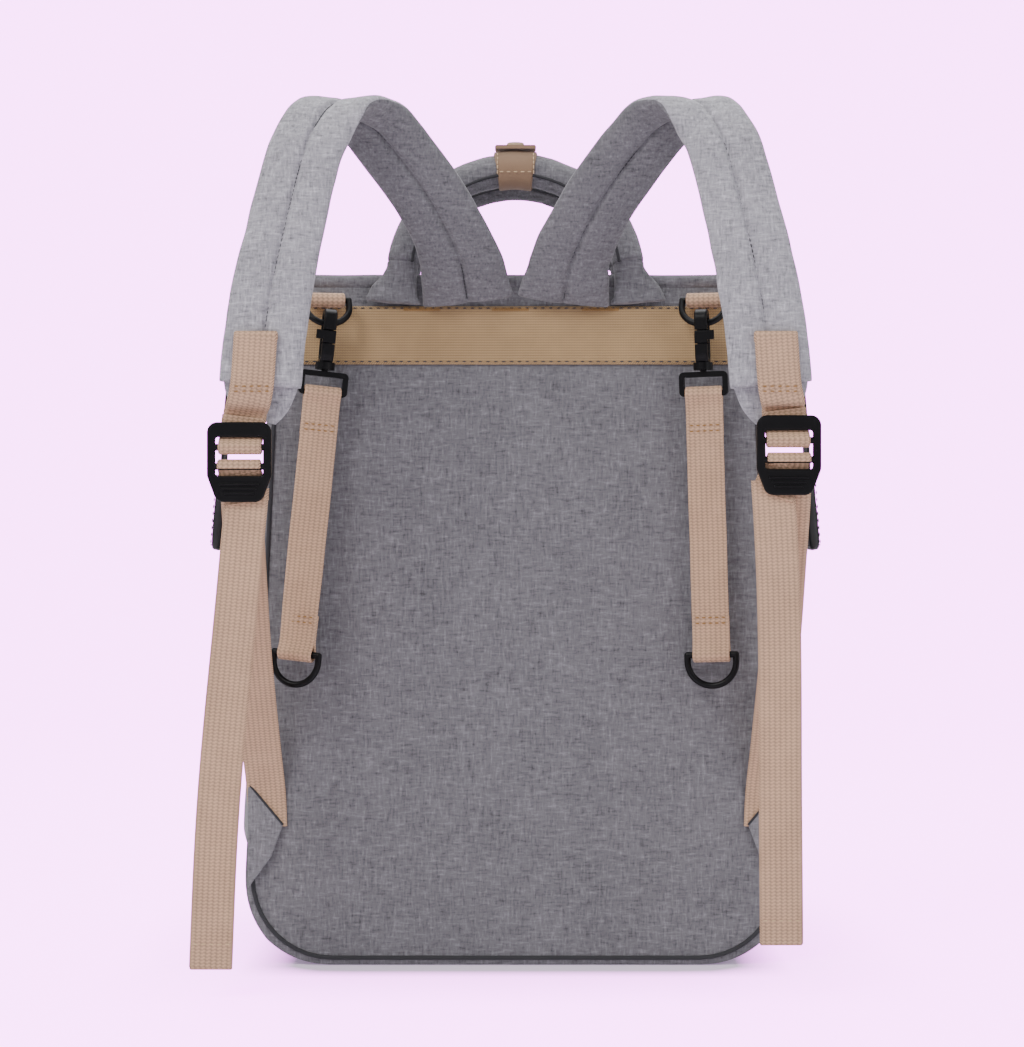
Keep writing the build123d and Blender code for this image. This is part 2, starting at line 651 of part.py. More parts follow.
def handle_plane(name):
    """The plane a handle's bow lies in, with its origin at the handle's foot."""
    if name == "rear":
        foot = (0, back_y(REAR_HANDLE_BASE, -REAR_HANDLE_OFFSET), REAR_HANDLE_BASE)
        lean = BACK_LEAN
    else:
        lift = (SHELL / 2 + FRONT_HANDLE_FOOT_GAP) / cos(ROOF)
        foot_y = FRONT_HEM_Y + FRONT_HANDLE_SETBACK
        foot = (0, foot_y, roof_z(foot_y, 0) + lift)
        lean = FRONT_HANDLE_LEAN
    return Plane(origin=foot, x_dir=(1, 0, 0), z_dir=(0, -cos(lean), sin(lean)))


def handle_bow(crown):
    """A padded bow in its own plane: x across, y up, hinged along its sewn feet."""
    ring = Pos(0, crown - HANDLE_RADIUS, 0) * Torus(HANDLE_RADIUS, HANDLE_TUBE)
    keep = Pos(0, HANDLE_FOOT_HEIGHT + HANDLE_HINGE_GAP, 0) * Box(
        SLICE, SLICE, SLICE, align=(Align.CENTER, Align.MIN, Align.CENTER)
    )
    return ring & keep


def handle_feet():
    """The two flared feet that a bow is sewn to."""
    foot = Polygon(
        (HANDLE_FOOT_INNER, 0),
        (HANDLE_FOOT_OUTER, 0),
        (HANDLE_NECK_OUTER, HANDLE_FOOT_HEIGHT),
        (HANDLE_NECK_INNER, HANDLE_FOOT_HEIGHT),
        align=None,
    )
    flare = extrude(foot, amount=HANDLE_FOOT_THICKNESS / 2, both=True)
    return [*flare.solids(), *flare.mirror(Plane.YZ).solids()]


def handles():
    crown = HANDLE_CROWN
    rear = handle_plane("rear")
    front = handle_plane("front")
    front_crown = crown - (front.origin.Z - rear.origin.Z)
    inner = HANDLE_TUBE + WRAP_GAP
    centre = Pos(0, crown - HANDLE_RADIUS, 0)
    span = Pos(0, crown, 0) * Box(WRAP_WIDTH, 4 * HANDLE_TUBE, 4 * HANDLE_TUBE)
    sleeve = (centre * (Torus(HANDLE_RADIUS, inner + WRAP_THICKNESS) - Torus(HANDLE_RADIUS, inner))) & span
    tab, snap = wrap_tab()
    return {
        "rear_handle": rear.location * handle_bow(crown),
        "rear_handle_feet": Compound([rear.location * foot for foot in handle_feet()]),
        "front_handle": front.location * handle_bow(front_crown),
        "front_handle_feet": Compound([front.location * foot for foot in handle_feet()]),
        "wrap": rear.location * sleeve,
        "wrap_tab": tab,
        "wrap_snap": snap,
    }


def wrap_top():
    """The highest point of the wrap on the rear handle, as (y, z)."""
    crown = handle_plane("rear").location * Pos(0, HANDLE_CROWN, 0)
    rise = HANDLE_TUBE + WRAP_GAP + WRAP_THICKNESS
    return crown.position.Y, crown.position.Z + rise


def wrap_tab():
    """The wrap's end tab, lying level on the handle's crown, with a round snap cap."""
    y, z = wrap_top()
    low = z + CLEARANCE
    tab = Pos(0, y, low + TAB_THICKNESS / 2) * Box(WRAP_WIDTH, TAB_DEPTH, TAB_THICKNESS)
    tab = fillet(tab.edges().filter_by(Axis.Z), TAB_CORNER)
    snap_z = low + TAB_THICKNESS + SNAP_HEIGHT / 2
    snap = Pos(0, y - SNAP_SETBACK, snap_z) * Cylinder(SNAP_RADIUS, SNAP_HEIGHT)
    return tab, fillet(snap.edges().group_by(Axis.Z)[-1], SNAP_EDGE)


# ---------------------------------------------------------------- shoulder straps


def behind(distance):
    """The y of a point this far behind the back panel."""
    return -BAG_DEPTH / 2 - distance


def shoulder_strap(side):
    return ribbon([(side * x, behind(d), BAG_HEIGHT + rise, w, t) for x, d, rise, w, t in STRAP_LINE])


def lock_place(side):
    """The ladder lock's centre, as (distance out, height)."""
    inwards, drop = LOCK_PLACES[side]
    return BASE_HALF_WIDTH - inwards, BAG_HEIGHT - drop


def strap_webbing(side):
    """The webbing sewn to the strap's end: down the pad, behind the lock's top bar, round its bar."""
    out, height = lock_place(side)
    bar_z = height + LOCK_UPPER_BAR
    pad_x, pad_d, pad_z, _, pad_thickness = STRAP_LINE[-3]
    pad_z += BAG_HEIGHT
    face = pad_d + pad_thickness / 2 + WEBBING_THICKNESS
    lock_inner = LOCK_BEHIND - LOCK_THICKNESS / 2
    back = lock_inner - WEBBING_BEHIND_LOCK
    approach, pass_behind, turn, wrap = WEBBING_LOCK_SHIFTS
    line = [
        (pad_x + WEBBING_TOP_SHIFT, face, pad_z + WEBBING_ON_PAD),
        (pad_x + WEBBING_PAD_SHIFT, face + WEBBING_LIFT, pad_z),
        (out - approach, back + LOOP_GAP * 3, height + LOCK_HEIGHT / 2 + WEBBING_ABOVE_LOCK),
        (out - pass_behind, back, height + LOCK_WINDOW_TOP + LOCK_BAR_RADIUS),
        (out - turn, lock_inner - LOOP_GAP - LOCK_BAR_RADIUS, bar_z + LOCK_BAR_RADIUS / 2),
    ]
    strip = ribbon([(side * x, behind(d), z, WEBBING_WIDTH, WEBBING_THICKNESS) for x, d, z in line])
    bore = LOCK_BAR_RADIUS + LOOP_GAP
    half = WEBBING_WIDTH / 2
    place = Pos(side * (out - wrap), 0, 0)
    roll = place * tube_x(bore + WEBBING_THICKNESS, half, behind(LOCK_BEHIND), bar_z)
    hole = place * tube_x(bore, half + BORE_OVERRUN, behind(LOCK_BEHIND), bar_z)
    return strip + roll - hole


def ladder_lock(side):
    """A ladder lock: frame, two bars across its window, and a thumb tongue below."""
    out, height = lock_place(side)
    half = LOCK_WIDTH / 2
    low = -LOCK_HEIGHT / 2
    outline = Polygon(
        (-half, LOCK_HEIGHT / 2),
        (half, LOCK_HEIGHT / 2),
        (half, LOCK_WINDOW_LOW),
        (half * LOCK_TONGUE_SHARE, low),
        (-half * LOCK_TONGUE_SHARE, low),
        (-half, LOCK_WINDOW_LOW),
        align=None,
    )
    outline = fillet(outline.vertices(), LOCK_CORNER)
    window_height = LOCK_WINDOW_TOP - LOCK_WINDOW_LOW
    window = Pos(0, LOCK_WINDOW_LOW + window_height / 2) * RectangleRounded(
        LOCK_WINDOW_WIDTH, window_height, LOCK_WINDOW_CORNER
    )
    plate = extrude(outline - window, amount=LOCK_THICKNESS / 2, both=True)
    rims = plate.edges().group_by(Axis.Z)
    plate = fillet([*rims[0], *rims[-1]], LOCK_EDGE)
    for bar in (LOCK_UPPER_BAR, LOCK_LOWER_BAR):
        plate += Pos(0, bar, 0) * Rot(0, 90, 0) * Cylinder(LOCK_BAR_RADIUS, LOCK_WINDOW_WIDTH + 2)
    plane = Plane(origin=(side * out, behind(LOCK_BEHIND), height), x_dir=(1, 0, 0), z_dir=(0, -1, 0))
    return plane.location * plate


def tail_top(side):
    return lock_place(side)[1] - LOCK_HEIGHT / 2 - TAIL_START_GAP


def webbing_tail(side):
    """The free end of the adjuster webbing, with its turned hem."""
    end_x, end_z = TAIL_ENDS[side]
    start_z = tail_top(side)
    start_x = TAIL_STARTS[side]
    width = WEBBING_WIDTH
    hem_share = TAIL_HEM / (start_z - end_z)
    hem_x = end_x + (start_x - end_x) * hem_share
    plain = [(start_x, start_z), (end_x, end_z)]
    turned = [(hem_x, end_z + TAIL_HEM), (end_x, end_z)]
    y = behind(TAIL_BEHIND)
    strip = ribbon([(side * x, y, z, width, WEBBING_THICKNESS) for x, z in plain])
    return strip + ribbon([(side * x, y, z, width, 3 * WEBBING_THICKNESS) for x, z in turned])


def load_webbing(side):
    return ribbon([(side * x, behind(d), z, LOAD_WEBBING_WIDTH, WEBBING_THICKNESS) for x, d, z in LOAD_LINE])


def anchor_wedge(side):
    """A folded fabric triangle at the side seam that holds the load webbing's end."""
    apex_x, apex_z = WEDGE_APEX
    triangle = Polygon(
        (side * WEDGE_OUTER, WEDGE_TOP), (side * apex_x, apex_z), (side * WEDGE_OUTER, WEDGE_LOW), align=None
    )
    face = Plane(origin=(0, behind(WEDGE_STANDOFF + WEDGE_SHEET / 2), 0), x_dir=(1, 0, 0), z_dir=(0, -1, 0))
    sheet = extrude(face * triangle, amount=WEDGE_SHEET / 2, both=True)
    core = face.offset(-(WEDGE_STANDOFF + WEDGE_SHEET) / 2) * triangle
    below = Pos(0, 0, WEDGE_BLOCK_TOP) * Box(
        SLICE, SLICE, SLICE, align=(Align.CENTER, Align.CENTER, Align.MAX)
    )
    return sheet + (extrude(core, amount=WEDGE_STANDOFF / 2, both=True) & below)


def shoulder_straps():
    parts = {}
    for name, side in SIDES.items():
        parts[f"shoulder_strap_{name}"] = shoulder_strap(side)
        parts[f"strap_webbing_{name}"] = strap_webbing(side)
        parts[f"ladder_lock_{name}"] = ladder_lock(side)
        parts[f"webbing_tail_{name}"] = webbing_tail(side)
        parts[f"load_webbing_{name}"] = load_webbing(side)
    wedges = [solid for side in SIDES.values() for solid in anchor_wedge(side).solids()]
    parts["anchor_wedges"] = Compound(wedges)
    return parts


# ---------------------------------------------------------------- stroller straps


def chain_root(side):
    """The upper ring's curved wire, turned to face a little inwards."""
    return Pos(side * CHAIN_OUT, behind(CHAIN_BEHIND), CHAIN_HEIGHT) * Rot(0, 0, -side * CHAIN_TURN)


def chain_frame(side):
    """The hanging chain's own frame, leaning outwards as it hangs."""
    return chain_root(side) * Rot(0, -side * CHAIN_LEANS[side], 0)


def d_ring(width):
    """A D-ring in its own plane: straight bar along x at y = 0, bowed wire below."""
    wire = RING_WIRE / 2
    bow_radius = width / 2 - wire
    leg = RING_DROP - bow_radius
    below = Box(SLICE, SLICE, SLICE, align=(Align.CENTER, Align.MAX, Align.CENTER))
    ring = Pos(0, -leg, 0) * (Torus(bow_radius, wire) & below)
    ring += Rot(0, 90, 0) * Cylinder(wire, 2 * bow_radius)
    for side in SIDES.values():
        ring += Pos(side * bow_radius, -leg / 2, 0) * Rot(90, 0, 0) * Cylinder(wire, leg)
        ring += Pos(side * bow_radius, 0, 0) * Sphere(wire)
    return ring


def ring_bar_rise():
    return (RING_DROP**2 - RING_BAR_FORWARD**2) ** 0.5


def upper_ring(side):
    """The ring hangs off its tab and slants out to the wire that the hook holds."""
    slant = degrees(atan2(RING_BAR_FORWARD, ring_bar_rise()))
    bar = Pos(0, RING_BAR_FORWARD, ring_bar_rise())
    return chain_root(side) * bar * Rot(90 - slant, 0, 0) * d_ring(UPPER_RING_WIDTH)


def ring_tab(side):
    """The folded webbing tab that carries the upper ring's bar."""
    bar = chain_root(side) * Pos(0, RING_BAR_FORWARD, ring_bar_rise())
    outer = RING_LOOP_BORE + STROLLER_THICKNESS
    roll = Rot(0, 90, 0) * Cylinder(outer, RING_TAB_WIDTH)
    hole = Rot(0, 90, 0) * Cylinder(RING_LOOP_BORE, RING_TAB_WIDTH + BORE_OVERRUN)
    sheet = Pos(0, 0, RING_TAB_RISE) * Box(
        RING_TAB_WIDTH,
        RING_TAB_REACH,
        2 * STROLLER_THICKNESS,
        align=(Align.CENTER, Align.MIN, Align.CENTER),
    )
    tab = bar * (roll + sheet - hole)
    return tab - back_layer(0, FAR, 0, BAG_HEIGHT + FAR)


def snap_hook():
    """The hook's loop round the ring, and the collar that the swivel turns in."""
    height = HOOK_TOP - HOOK_LOW
    middle = (HOOK_TOP + HOOK_LOW) / 2
    outer = Pos(0, middle) * RectangleRounded(HOOK_DEPTH, height, HOOK_DEPTH / 2 - HOOK_FLAT)
    inner = offset(outer, -HOOK_WALL)
    loop = extrude(Plane.YZ * (outer - inner), amount=HOOK_WIDTH / 2, both=True)
    rims = loop.edges().group_by(Axis.X)
    loop = fillet([*rims[0], *rims[-1]], HOOK_EDGE)
    mouth = Pos(0, -HOOK_DEPTH / 2 + HOOK_WALL / 2, (GATE_LOW + GATE_TOP) / 2) * Box(
        HOOK_WIDTH * 2, HOOK_WALL + MOUTH_OVERRUN, GATE_TOP - GATE_LOW
    )
    collar = Pos(0, 0, HOOK_LOW - COLLAR_LENGTH / 2 + COLLAR_OVERLAP) * Cylinder(
        COLLAR_RADIUS, COLLAR_LENGTH + COLLAR_OVERLAP
    )
    bore = Pos(0, 0, HOOK_LOW) * Cylinder(PIVOT_RADIUS + PIVOT_GAP, 4 * HOOK_WALL)
    return loop - mouth + collar - bore


def hook_gate(side):
    """The sprung gate that closes the hook's mouth, with its thumb nub to the outside."""
    y = -HOOK_DEPTH / 2 + HOOK_WALL / 2
    length = GATE_TOP - GATE_LOW - 2 * CLEARANCE
    middle = (GATE_TOP + GATE_LOW) / 2
    leaf = Pos(0, y, middle) * Box(HOOK_WIDTH, GATE_THICKNESS, length)
    nub_x = side * (HOOK_WIDTH + GATE_NUB) / 2
    nub = Pos(nub_x, y - GATE_NUB_SETBACK, middle + GATE_NUB_RISE) * Box(
        GATE_NUB, GATE_THICKNESS - GATE_NUB_SETBACK, length - GATE_NUB_MARGIN
    )
    return fillet(leaf.edges().filter_by(Axis.X), GATE_EDGE) + nub


def eye_top():
    return HOOK_LOW - COLLAR_LENGTH - EYE_GAP


def hook_eye():
    """The swivel eye: a frame for the webbing, on a headed stem that turns in the collar."""
    centre_z = eye_top() - EYE_HEIGHT / 2
    outer = Pos(0, centre_z) * RectangleRounded(EYE_WIDTH, EYE_HEIGHT, EYE_CORNER)
    inner = Pos(0, centre_z) * Rectangle(EYE_WIDTH - 2 * EYE_WIRE, EYE_HEIGHT - 2 * EYE_WIRE)
    frame = extrude(Plane.XZ * (outer - inner), amount=EYE_THICKNESS / 2, both=True)
    stem_top = HOOK_LOW + HOOK_WALL + PIVOT_HEAD_GAP
    stem_low = eye_top() - STEM_OVERLAP
    stem = Pos(0, 0, (stem_top + stem_low) / 2) * Cylinder(PIVOT_RADIUS, stem_top - stem_low)
    head = Pos(0, 0, stem_top + PIVOT_HEAD_HEIGHT / 2) * Cylinder(PIVOT_HEAD_RADIUS, PIVOT_HEAD_HEIGHT)
    return frame + stem + head


def eye_bar():
    return eye_top() - EYE_HEIGHT + EYE_WIRE / 2


def stroller_strap(side):
    """Webbing between the hook's eye and the lower ring, folded and sewn at both ends."""
    bore = RING_LOOP_BORE
    roll = Rot(0, 90, 0) * Cylinder(bore + STROLLER_THICKNESS, STROLLER_WIDTH)
    hole = Rot(0, 90, 0) * Cylinder(bore, STROLLER_WIDTH + BORE_OVERRUN)
    upper = eye_bar()
    lower = LOWER_RING_BAR
    twist = Rot(0, 0, LOWER_RING_TWISTS[side])
    web = Pos(0, 0, (upper + lower) / 2) * Box(STROLLER_WIDTH, STROLLER_THICKNESS, upper - lower - bore)
    top_fold = Pos(0, 0, upper - bore - STROLLER_FOLD / 2) * Box(
        STROLLER_WIDTH, 2 * STROLLER_THICKNESS, STROLLER_FOLD
    )
    low_fold = Pos(0, 0, lower + bore + STROLLER_FOLD / 2 + STROLLER_TWIST_RUN) * Box(
        STROLLER_WIDTH, 2 * STROLLER_THICKNESS, STROLLER_FOLD
    )
    strap = web + top_fold + low_fold + Pos(0, 0, upper) * roll + Pos(0, 0, lower) * twist * roll
    return strap - Pos(0, 0, upper) * hole - Pos(0, 0, lower) * twist * hole


def lower_ring(side):
    ring = Rot(90, 0, 0) * d_ring(LOWER_RING_WIDTH)
    return Pos(0, 0, LOWER_RING_BAR) * Rot(0, 0, LOWER_RING_TWISTS[side]) * ring


def stroller_straps():
    parts = {}
    for name, side in SIDES.items():
        frame = chain_frame(side)
        parts[f"upper_ring_{name}"] = upper_ring(side)
        parts[f"snap_hook_{name}"] = frame * snap_hook()
        parts[f"hook_gate_{name}"] = frame * hook_gate(side)
        parts[f"hook_eye_{name}"] = frame * hook_eye()
        parts[f"stroller_strap_{name}"] = frame * stroller_strap(side)
        parts[f"lower_ring_{name}"] = frame * lower_ring(side)
    tabs = [solid for side in SIDES.values() for solid in ring_tab(side).solids()]
    parts["ring_tabs"] = Compound(tabs)
    return parts


def main():
    parts = {
        **walls(),
        **rim(),
        **top_flap(),
        **main_zipper(),
        **zipper_tails(),
        **front_pocket(),
        **side_pockets(),
        **handles(),
        **shoulder_straps(),
        **stroller_straps(),
    }
    os.makedirs("parts", exist_ok=True)
    for name, shape in parts.items():
        export_step(shape, f"parts/{name}.step")


if __name__ == "__main__":
    main()
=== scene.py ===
"""Builds the fabric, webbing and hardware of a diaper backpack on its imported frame."""
import json
from math import atan2, cos, exp, hypot, pi, radians, sin, tan

import bmesh
import bpy
from bpy.props import FloatProperty, FloatVectorProperty, IntProperty, PointerProperty
from mathutils import Matrix, Vector, noise


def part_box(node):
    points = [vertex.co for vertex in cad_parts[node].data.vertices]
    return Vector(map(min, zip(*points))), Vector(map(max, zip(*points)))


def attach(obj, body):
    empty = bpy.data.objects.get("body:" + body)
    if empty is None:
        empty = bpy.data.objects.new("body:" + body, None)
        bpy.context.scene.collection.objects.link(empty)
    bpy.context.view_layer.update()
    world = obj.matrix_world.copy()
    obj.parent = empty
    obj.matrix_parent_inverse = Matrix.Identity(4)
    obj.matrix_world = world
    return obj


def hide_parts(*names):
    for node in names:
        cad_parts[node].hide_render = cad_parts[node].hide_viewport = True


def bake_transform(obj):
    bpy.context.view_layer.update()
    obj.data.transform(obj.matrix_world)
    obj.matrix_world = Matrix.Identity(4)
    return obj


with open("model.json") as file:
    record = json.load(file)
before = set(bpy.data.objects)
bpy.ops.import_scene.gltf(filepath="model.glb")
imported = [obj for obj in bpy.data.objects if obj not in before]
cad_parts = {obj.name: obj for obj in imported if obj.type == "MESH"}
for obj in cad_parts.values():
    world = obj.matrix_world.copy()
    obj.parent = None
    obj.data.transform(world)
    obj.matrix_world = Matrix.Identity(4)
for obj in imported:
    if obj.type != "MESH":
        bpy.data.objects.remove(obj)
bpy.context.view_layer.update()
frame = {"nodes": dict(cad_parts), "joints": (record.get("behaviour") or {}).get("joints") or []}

bl_info = {
    "name": "Diaper Backpack",
    "version": (1, 0, 0),
    "blender": (4, 5, 0),
    "location": "View3D > Sidebar > Bag",
    "description": "Builds the fabric, webbing and hardware of a diaper backpack on its frame",
    "category": "Object",
}

MM = 0.001
X_AXIS = Vector((1, 0, 0))
Y_AXIS = Vector((0, 1, 0))
Z_AXIS = Vector((0, 0, 1))
SIDES = {"left": -1, "right": 1}
JOINTS = {joint["name"]: joint for joint in frame["joints"]}


def joint_place(name):
    return Vector(JOINTS[name]["pos_m"])


def joint_axis(name):
    return Vector(JOINTS[name]["axis"]).normalized()


def middle(node):
    low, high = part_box(node)
    return (low + high) / 2


# The walls, read from the frame: the back stands upright to the knee and leans in above it
RIM_Z = middle("front_hem").z
HINGE = joint_place("top_flap_hinge")
ROOF = atan2(RIM_Z - HINGE.z, HINGE.y - middle("front_hem").y)
BACK_Y = -0.095
FRONT_Y = 0.095
KNEE_Z = 0.365
RIM_HEIGHT = 0.430
BACK_ANGLE = radians(15)
BACK_LEAN = tan(BACK_ANGLE)
FRONT_ANGLE = radians(4)
FRONT_LEAN = tan(FRONT_ANGLE)

# Angles and sizes that several pieces share
FRONT_HANDLE_ANGLE = radians(18)
TAIL_ANGLE = radians(4.5)
HANDLE_RADIUS = 71 * MM
HANDLE_FOOT = 24.8 * MM
WEBBING_WIDTH = 25 * MM
ON_FACE = 0.999
TACK_PLACES = (-58.6 * MM, -3.4 * MM, 52.7 * MM)
PLASTIC_PARTS = ("ladder_lock", "upper_ring", "snap_hook", "hook_gate", "hook_eye", "lower_ring")

# Light of the studio: how strongly the paper glows, and the colour that the room lends
PAPER_GLOW = 8.0
ROOM_LIGHT = (0.57, 0.564, 0.582, 1)


# ---------------------------------------------------------------- user's settings


def colour(name, description, default):
    return FloatVectorProperty(
        name=name, description=description, default=default, size=3, subtype="COLOR", min=0, max=1
    )


def length(name, description, default, low=0.0, high=1.0):
    limits = {"min": low, "max": high, "precision": 5, "subtype": "DISTANCE"}
    return FloatProperty(name=name, description=description, default=default, **limits)


def power(name, default):
    limits = {"min": 0, "max": 500, "unit": "POWER"}
    return FloatProperty(
        name=name, description=f"Power of the {name.lower()}", default=default, **limits
    )


class BagSizes(bpy.types.PropertyGroup):
    """Sizes of the sewn work."""

    base_half: length("Base half width", "Half width of the outline at the floor", 0.170)
    rim_half: length("Rim half width", "Half width of the outline at the rim", 0.150)
    corner: length("Corner radius", "Radius of the outline's low corners", 0.054)
    wall: length("Wall", "Thickness of the sewn walls", 0.0026)
    slack: length("Slack", "How far the fabric's slow waves stand in and out", 0.0011)
    swell: length("Swell", "The most that a wall moves when it fills", 0.0028)
    piping: length("Piping radius", "Radius of the bound seams", 0.0014)
    groove: FloatProperty(
        name="Groove", description="Depth of a sewn channel in a pad", default=0.42, min=0, max=1
    )
    crease: length("Crease", "Depth of the wrinkles in padded pieces", 0.0009)
    thread: length("Thread radius", "Radius of the sewing thread", 0.00040)
    stitch: length("Stitch", "Length of one stitch", 0.0029)
    webbing: length("Webbing thickness", "Thickness of the strap webbing", 0.0016)


class BagColours(bpy.types.PropertyGroup):
    """Colours of the cloth, webbing and hardware."""

    cloth_dark: colour("Melange dark", "Dark yarn of the melange cloth", (0.050, 0.049, 0.055))
    cloth_light: colour("Melange light", "Light yarn of the melange cloth", (0.275, 0.268, 0.29))
    webbing: colour("Webbing", "Strap webbing", (0.50, 0.315, 0.20))
    band: colour("Band", "Wide band across the back", (0.36, 0.235, 0.115))
    canvas: colour("Canvas", "Wrap round the handle", (0.30, 0.19, 0.115))
    thread: colour("Thread", "Stitching on the webbing", (0.30, 0.16, 0.045))
    black: colour("Black", "Plastic, zippers and piping", (0.004, 0.004, 0.0045))
    lining: colour("Lining", "Lining of the bag", (0.10, 0.11, 0.14))
    floor: colour("Floor", "Glow of the studio paper", (0.9, 0.2, 1.0))


class BagStage(bpy.types.PropertyGroup):
    """Camera and light."""

    lens: FloatProperty(
        name="Lens", description="Focal length", default=83.2, min=10, max=300, unit="CAMERA"
    )
    distance: length("Distance", "From the camera to the back panel", 1.5, 0.5, 5)
    height: length("Height", "Height of the camera", 0.2737)
    aside: length("Aside", "How far the camera stands to the right", -0.0022, -1, 1)
    key: power("Key light", 44)
    fill: power("Fill light", 15)
    cloth_frames: IntProperty(
        name="Cloth frames", description="Frames that the cloth settles for", default=20, min=2
    )


def sizes():
    return bpy.context.scene.bag_sizes


def colours():
    return bpy.context.scene.bag_colours


# ---------------------------------------------------------------- finishes


class Value:
    """A shader socket that works in Python sums."""

    def __init__(self, finish, socket):
        self.finish = finish
        self.socket = socket

    def maths(self, operation, *values):
        return self.finish.node("ShaderNodeMath", {"operation": operation}, dict(enumerate(values)))

    def __add__(self, other):
        return self.maths("ADD", self, other)

    def __sub__(self, other):
        return self.maths("SUBTRACT", self, other)

    def __rsub__(self, other):
        return self.maths("SUBTRACT", other, self)

    def __mul__(self, other):
        return self.maths("MULTIPLY", self, other)

    __radd__ = __add__
    __rmul__ = __mul__

    def __pow__(self, other):
        return self.maths("POWER", self, other)

    def sine(self):
        return self.maths("SINE", self)

    def size(self):
        return self.maths("ABSOLUTE", self)

    def above(self, limit):
        return self.maths("GREATER_THAN", self, limit)

    def part(self):
        return self.maths("FRACT", self)


class Finish:
    """One material and the nodes in it."""

    def __init__(self, name):
        self.material = bpy.data.materials.new("bag_" + name)
        self.material.use_nodes = True
        self.tree = self.material.node_tree
        self.tree.nodes.clear()

    def node(self, kind, settings=None, sockets=None, out=0):
        made = self.tree.nodes.new(kind)
        for key, value in (settings or {}).items():
            setattr(made, key, value)
        for key, value in (sockets or {}).items():
            if isinstance(value, Value):
                self.tree.links.new(value.socket, made.inputs[key])
            else:
                made.inputs[key].default_value = value
        return Value(self, made.outputs[out]) if made.outputs else None

    def place(self, scale=(1, 1, 1)):
        """Object coordinates, in metres, stretched by scale."""
        spot = self.node("ShaderNodeTexCoord", out="Object")
        return self.node("ShaderNodeMapping", None, {"Vector": spot, "Scale": scale})

    def apart(self):
        """Object coordinates as three values, in metres."""
        spot = self.node("ShaderNodeTexCoord", out="Object")
        first = self.node("ShaderNodeSeparateXYZ", None, {0: spot})
        return [Value(self, socket) for socket in first.socket.node.outputs]

    def cloth_place(self):
        """Across and along a sewn strip, in millimetres."""
        spot = self.node("ShaderNodeUVMap", {"uv_map": "cloth"})
        apart = self.node("ShaderNodeSeparateXYZ", None, {0: spot})
        along = Value(self, apart.socket.node.outputs[1])
        return apart * 1000, along * 1000

    def noise(self, scale, detail, rough, stretch=(1, 1, 1)):
        """Cloudy noise on object coordinates, from 0 to 1."""
        sockets = {"Vector": self.place(stretch), "Scale": scale, "Detail": detail, "Roughness": rough}
        return self.node("ShaderNodeTexNoise", None, sockets)

    def mix(self, factor, first, second):
        sockets = {0: factor, 6: first, 7: second}
        return self.node("ShaderNodeMix", {"data_type": "RGBA"}, sockets, out=2)

    def between(self, value, low, high):
        """Value stretched so that low becomes 0 and high becomes 1."""
        sockets = {"Value": value, "From Min": low, "From Max": high}
        return self.node("ShaderNodeMapRange", {"clamp": True}, sockets)

    def surface(self, paint, rough, height=None, depth=0.0003, strength=0.5, **constants):
        """The principled surface, with height in it as relief depth deep."""
        sockets = {"Base Color": paint, "Roughness": rough}
        for key, value in constants.items():
            sockets[key.replace("_", " ").title().replace("Ior", "IOR")] = value
        if height is not None:
            relief = {"Height": height, "Distance": depth, "Strength": strength}
            sockets["Normal"] = self.node("ShaderNodeBump", None, relief)
        shader = self.node("ShaderNodeBsdfPrincipled", None, sockets)
        self.node("ShaderNodeOutputMaterial", None, {"Surface": shader})
        return self.material


def paint(rgb, factor=1.0):
    return (rgb[0] * factor, rgb[1] * factor, rgb[2] * factor, 1.0)


def melange_cloth(name, brightness=1.0):
    """Heathered plain weave: pale and dark slubs that run across and up and down."""
    f = Finish(name)
    dark = paint(colours().cloth_dark, brightness)
    light = paint(colours().cloth_light, brightness)
    rows = f.noise(1.0, 3.0, 0.6, (150, 150, 720))
    columns = f.noise(1.0, 3.0, 0.6, (760, 760, 140))
    grain = f.noise(700.0, 2.0, 0.7)
    patches = f.noise(30.0, 3.0, 0.5)
    bright = f.between(rows, 0.54, 0.74) + f.between(columns, 0.54, 0.74)
    deep = f.between(rows, 0.46, 0.28) + f.between(columns, 0.46, 0.28)
    tone = 0.42 + 0.34 * bright - 0.24 * deep + 0.20 * (grain - 0.5) + 0.20 * (patches - 0.5)
    height = rows + columns + 0.6 * grain
    return f.surface(
        f.mix(tone, dark, light), 0.86, height, 0.00035, 0.5, sheen_weight=0.25, sheen_roughness=0.5
    )


def woven_webbing(name, tone, column=3.1, rib=2.0, edge=12.5, ribbing=0.52):
    """Webbing: lengthwise columns with fine ribs across them, and a tighter edge."""
    f = Finish(name)
    across, along = f.cloth_place()
    column_wave = (across * (pi / column)).sine().size()
    stagger = (across * (1 / column)).part().above(0.5) * (pi / 2)
    ribs = (along * (2 * pi / rib) + stagger).sine() * 0.5 + 0.5
    warp = (across * (2 * pi / 0.52)).sine() * 0.5 + 0.5
    selvedge = f.between(across.size(), edge - 1.6, edge - 0.9)
    chevron = ((along + across.size()) * (2 * pi / 1.5)).sine() * 0.5 + 0.5
    worn = f.noise(60.0, 4.0, 0.6)
    body = (1 - ribbing) * (column_wave ** 0.7) + ribbing * ribs
    height = body * (1 - selvedge) + chevron * selvedge + 0.25 * warp
    shade = 0.12 + 0.74 * height + 0.35 * (worn - 0.5)
    colour_mix = f.mix(shade, paint(tone, 0.30), paint(tone, 1.40))
    return f.surface(colour_mix, 0.78, height, 0.0004, 0.55, sheen_weight=0.15, sheen_roughness=0.4)


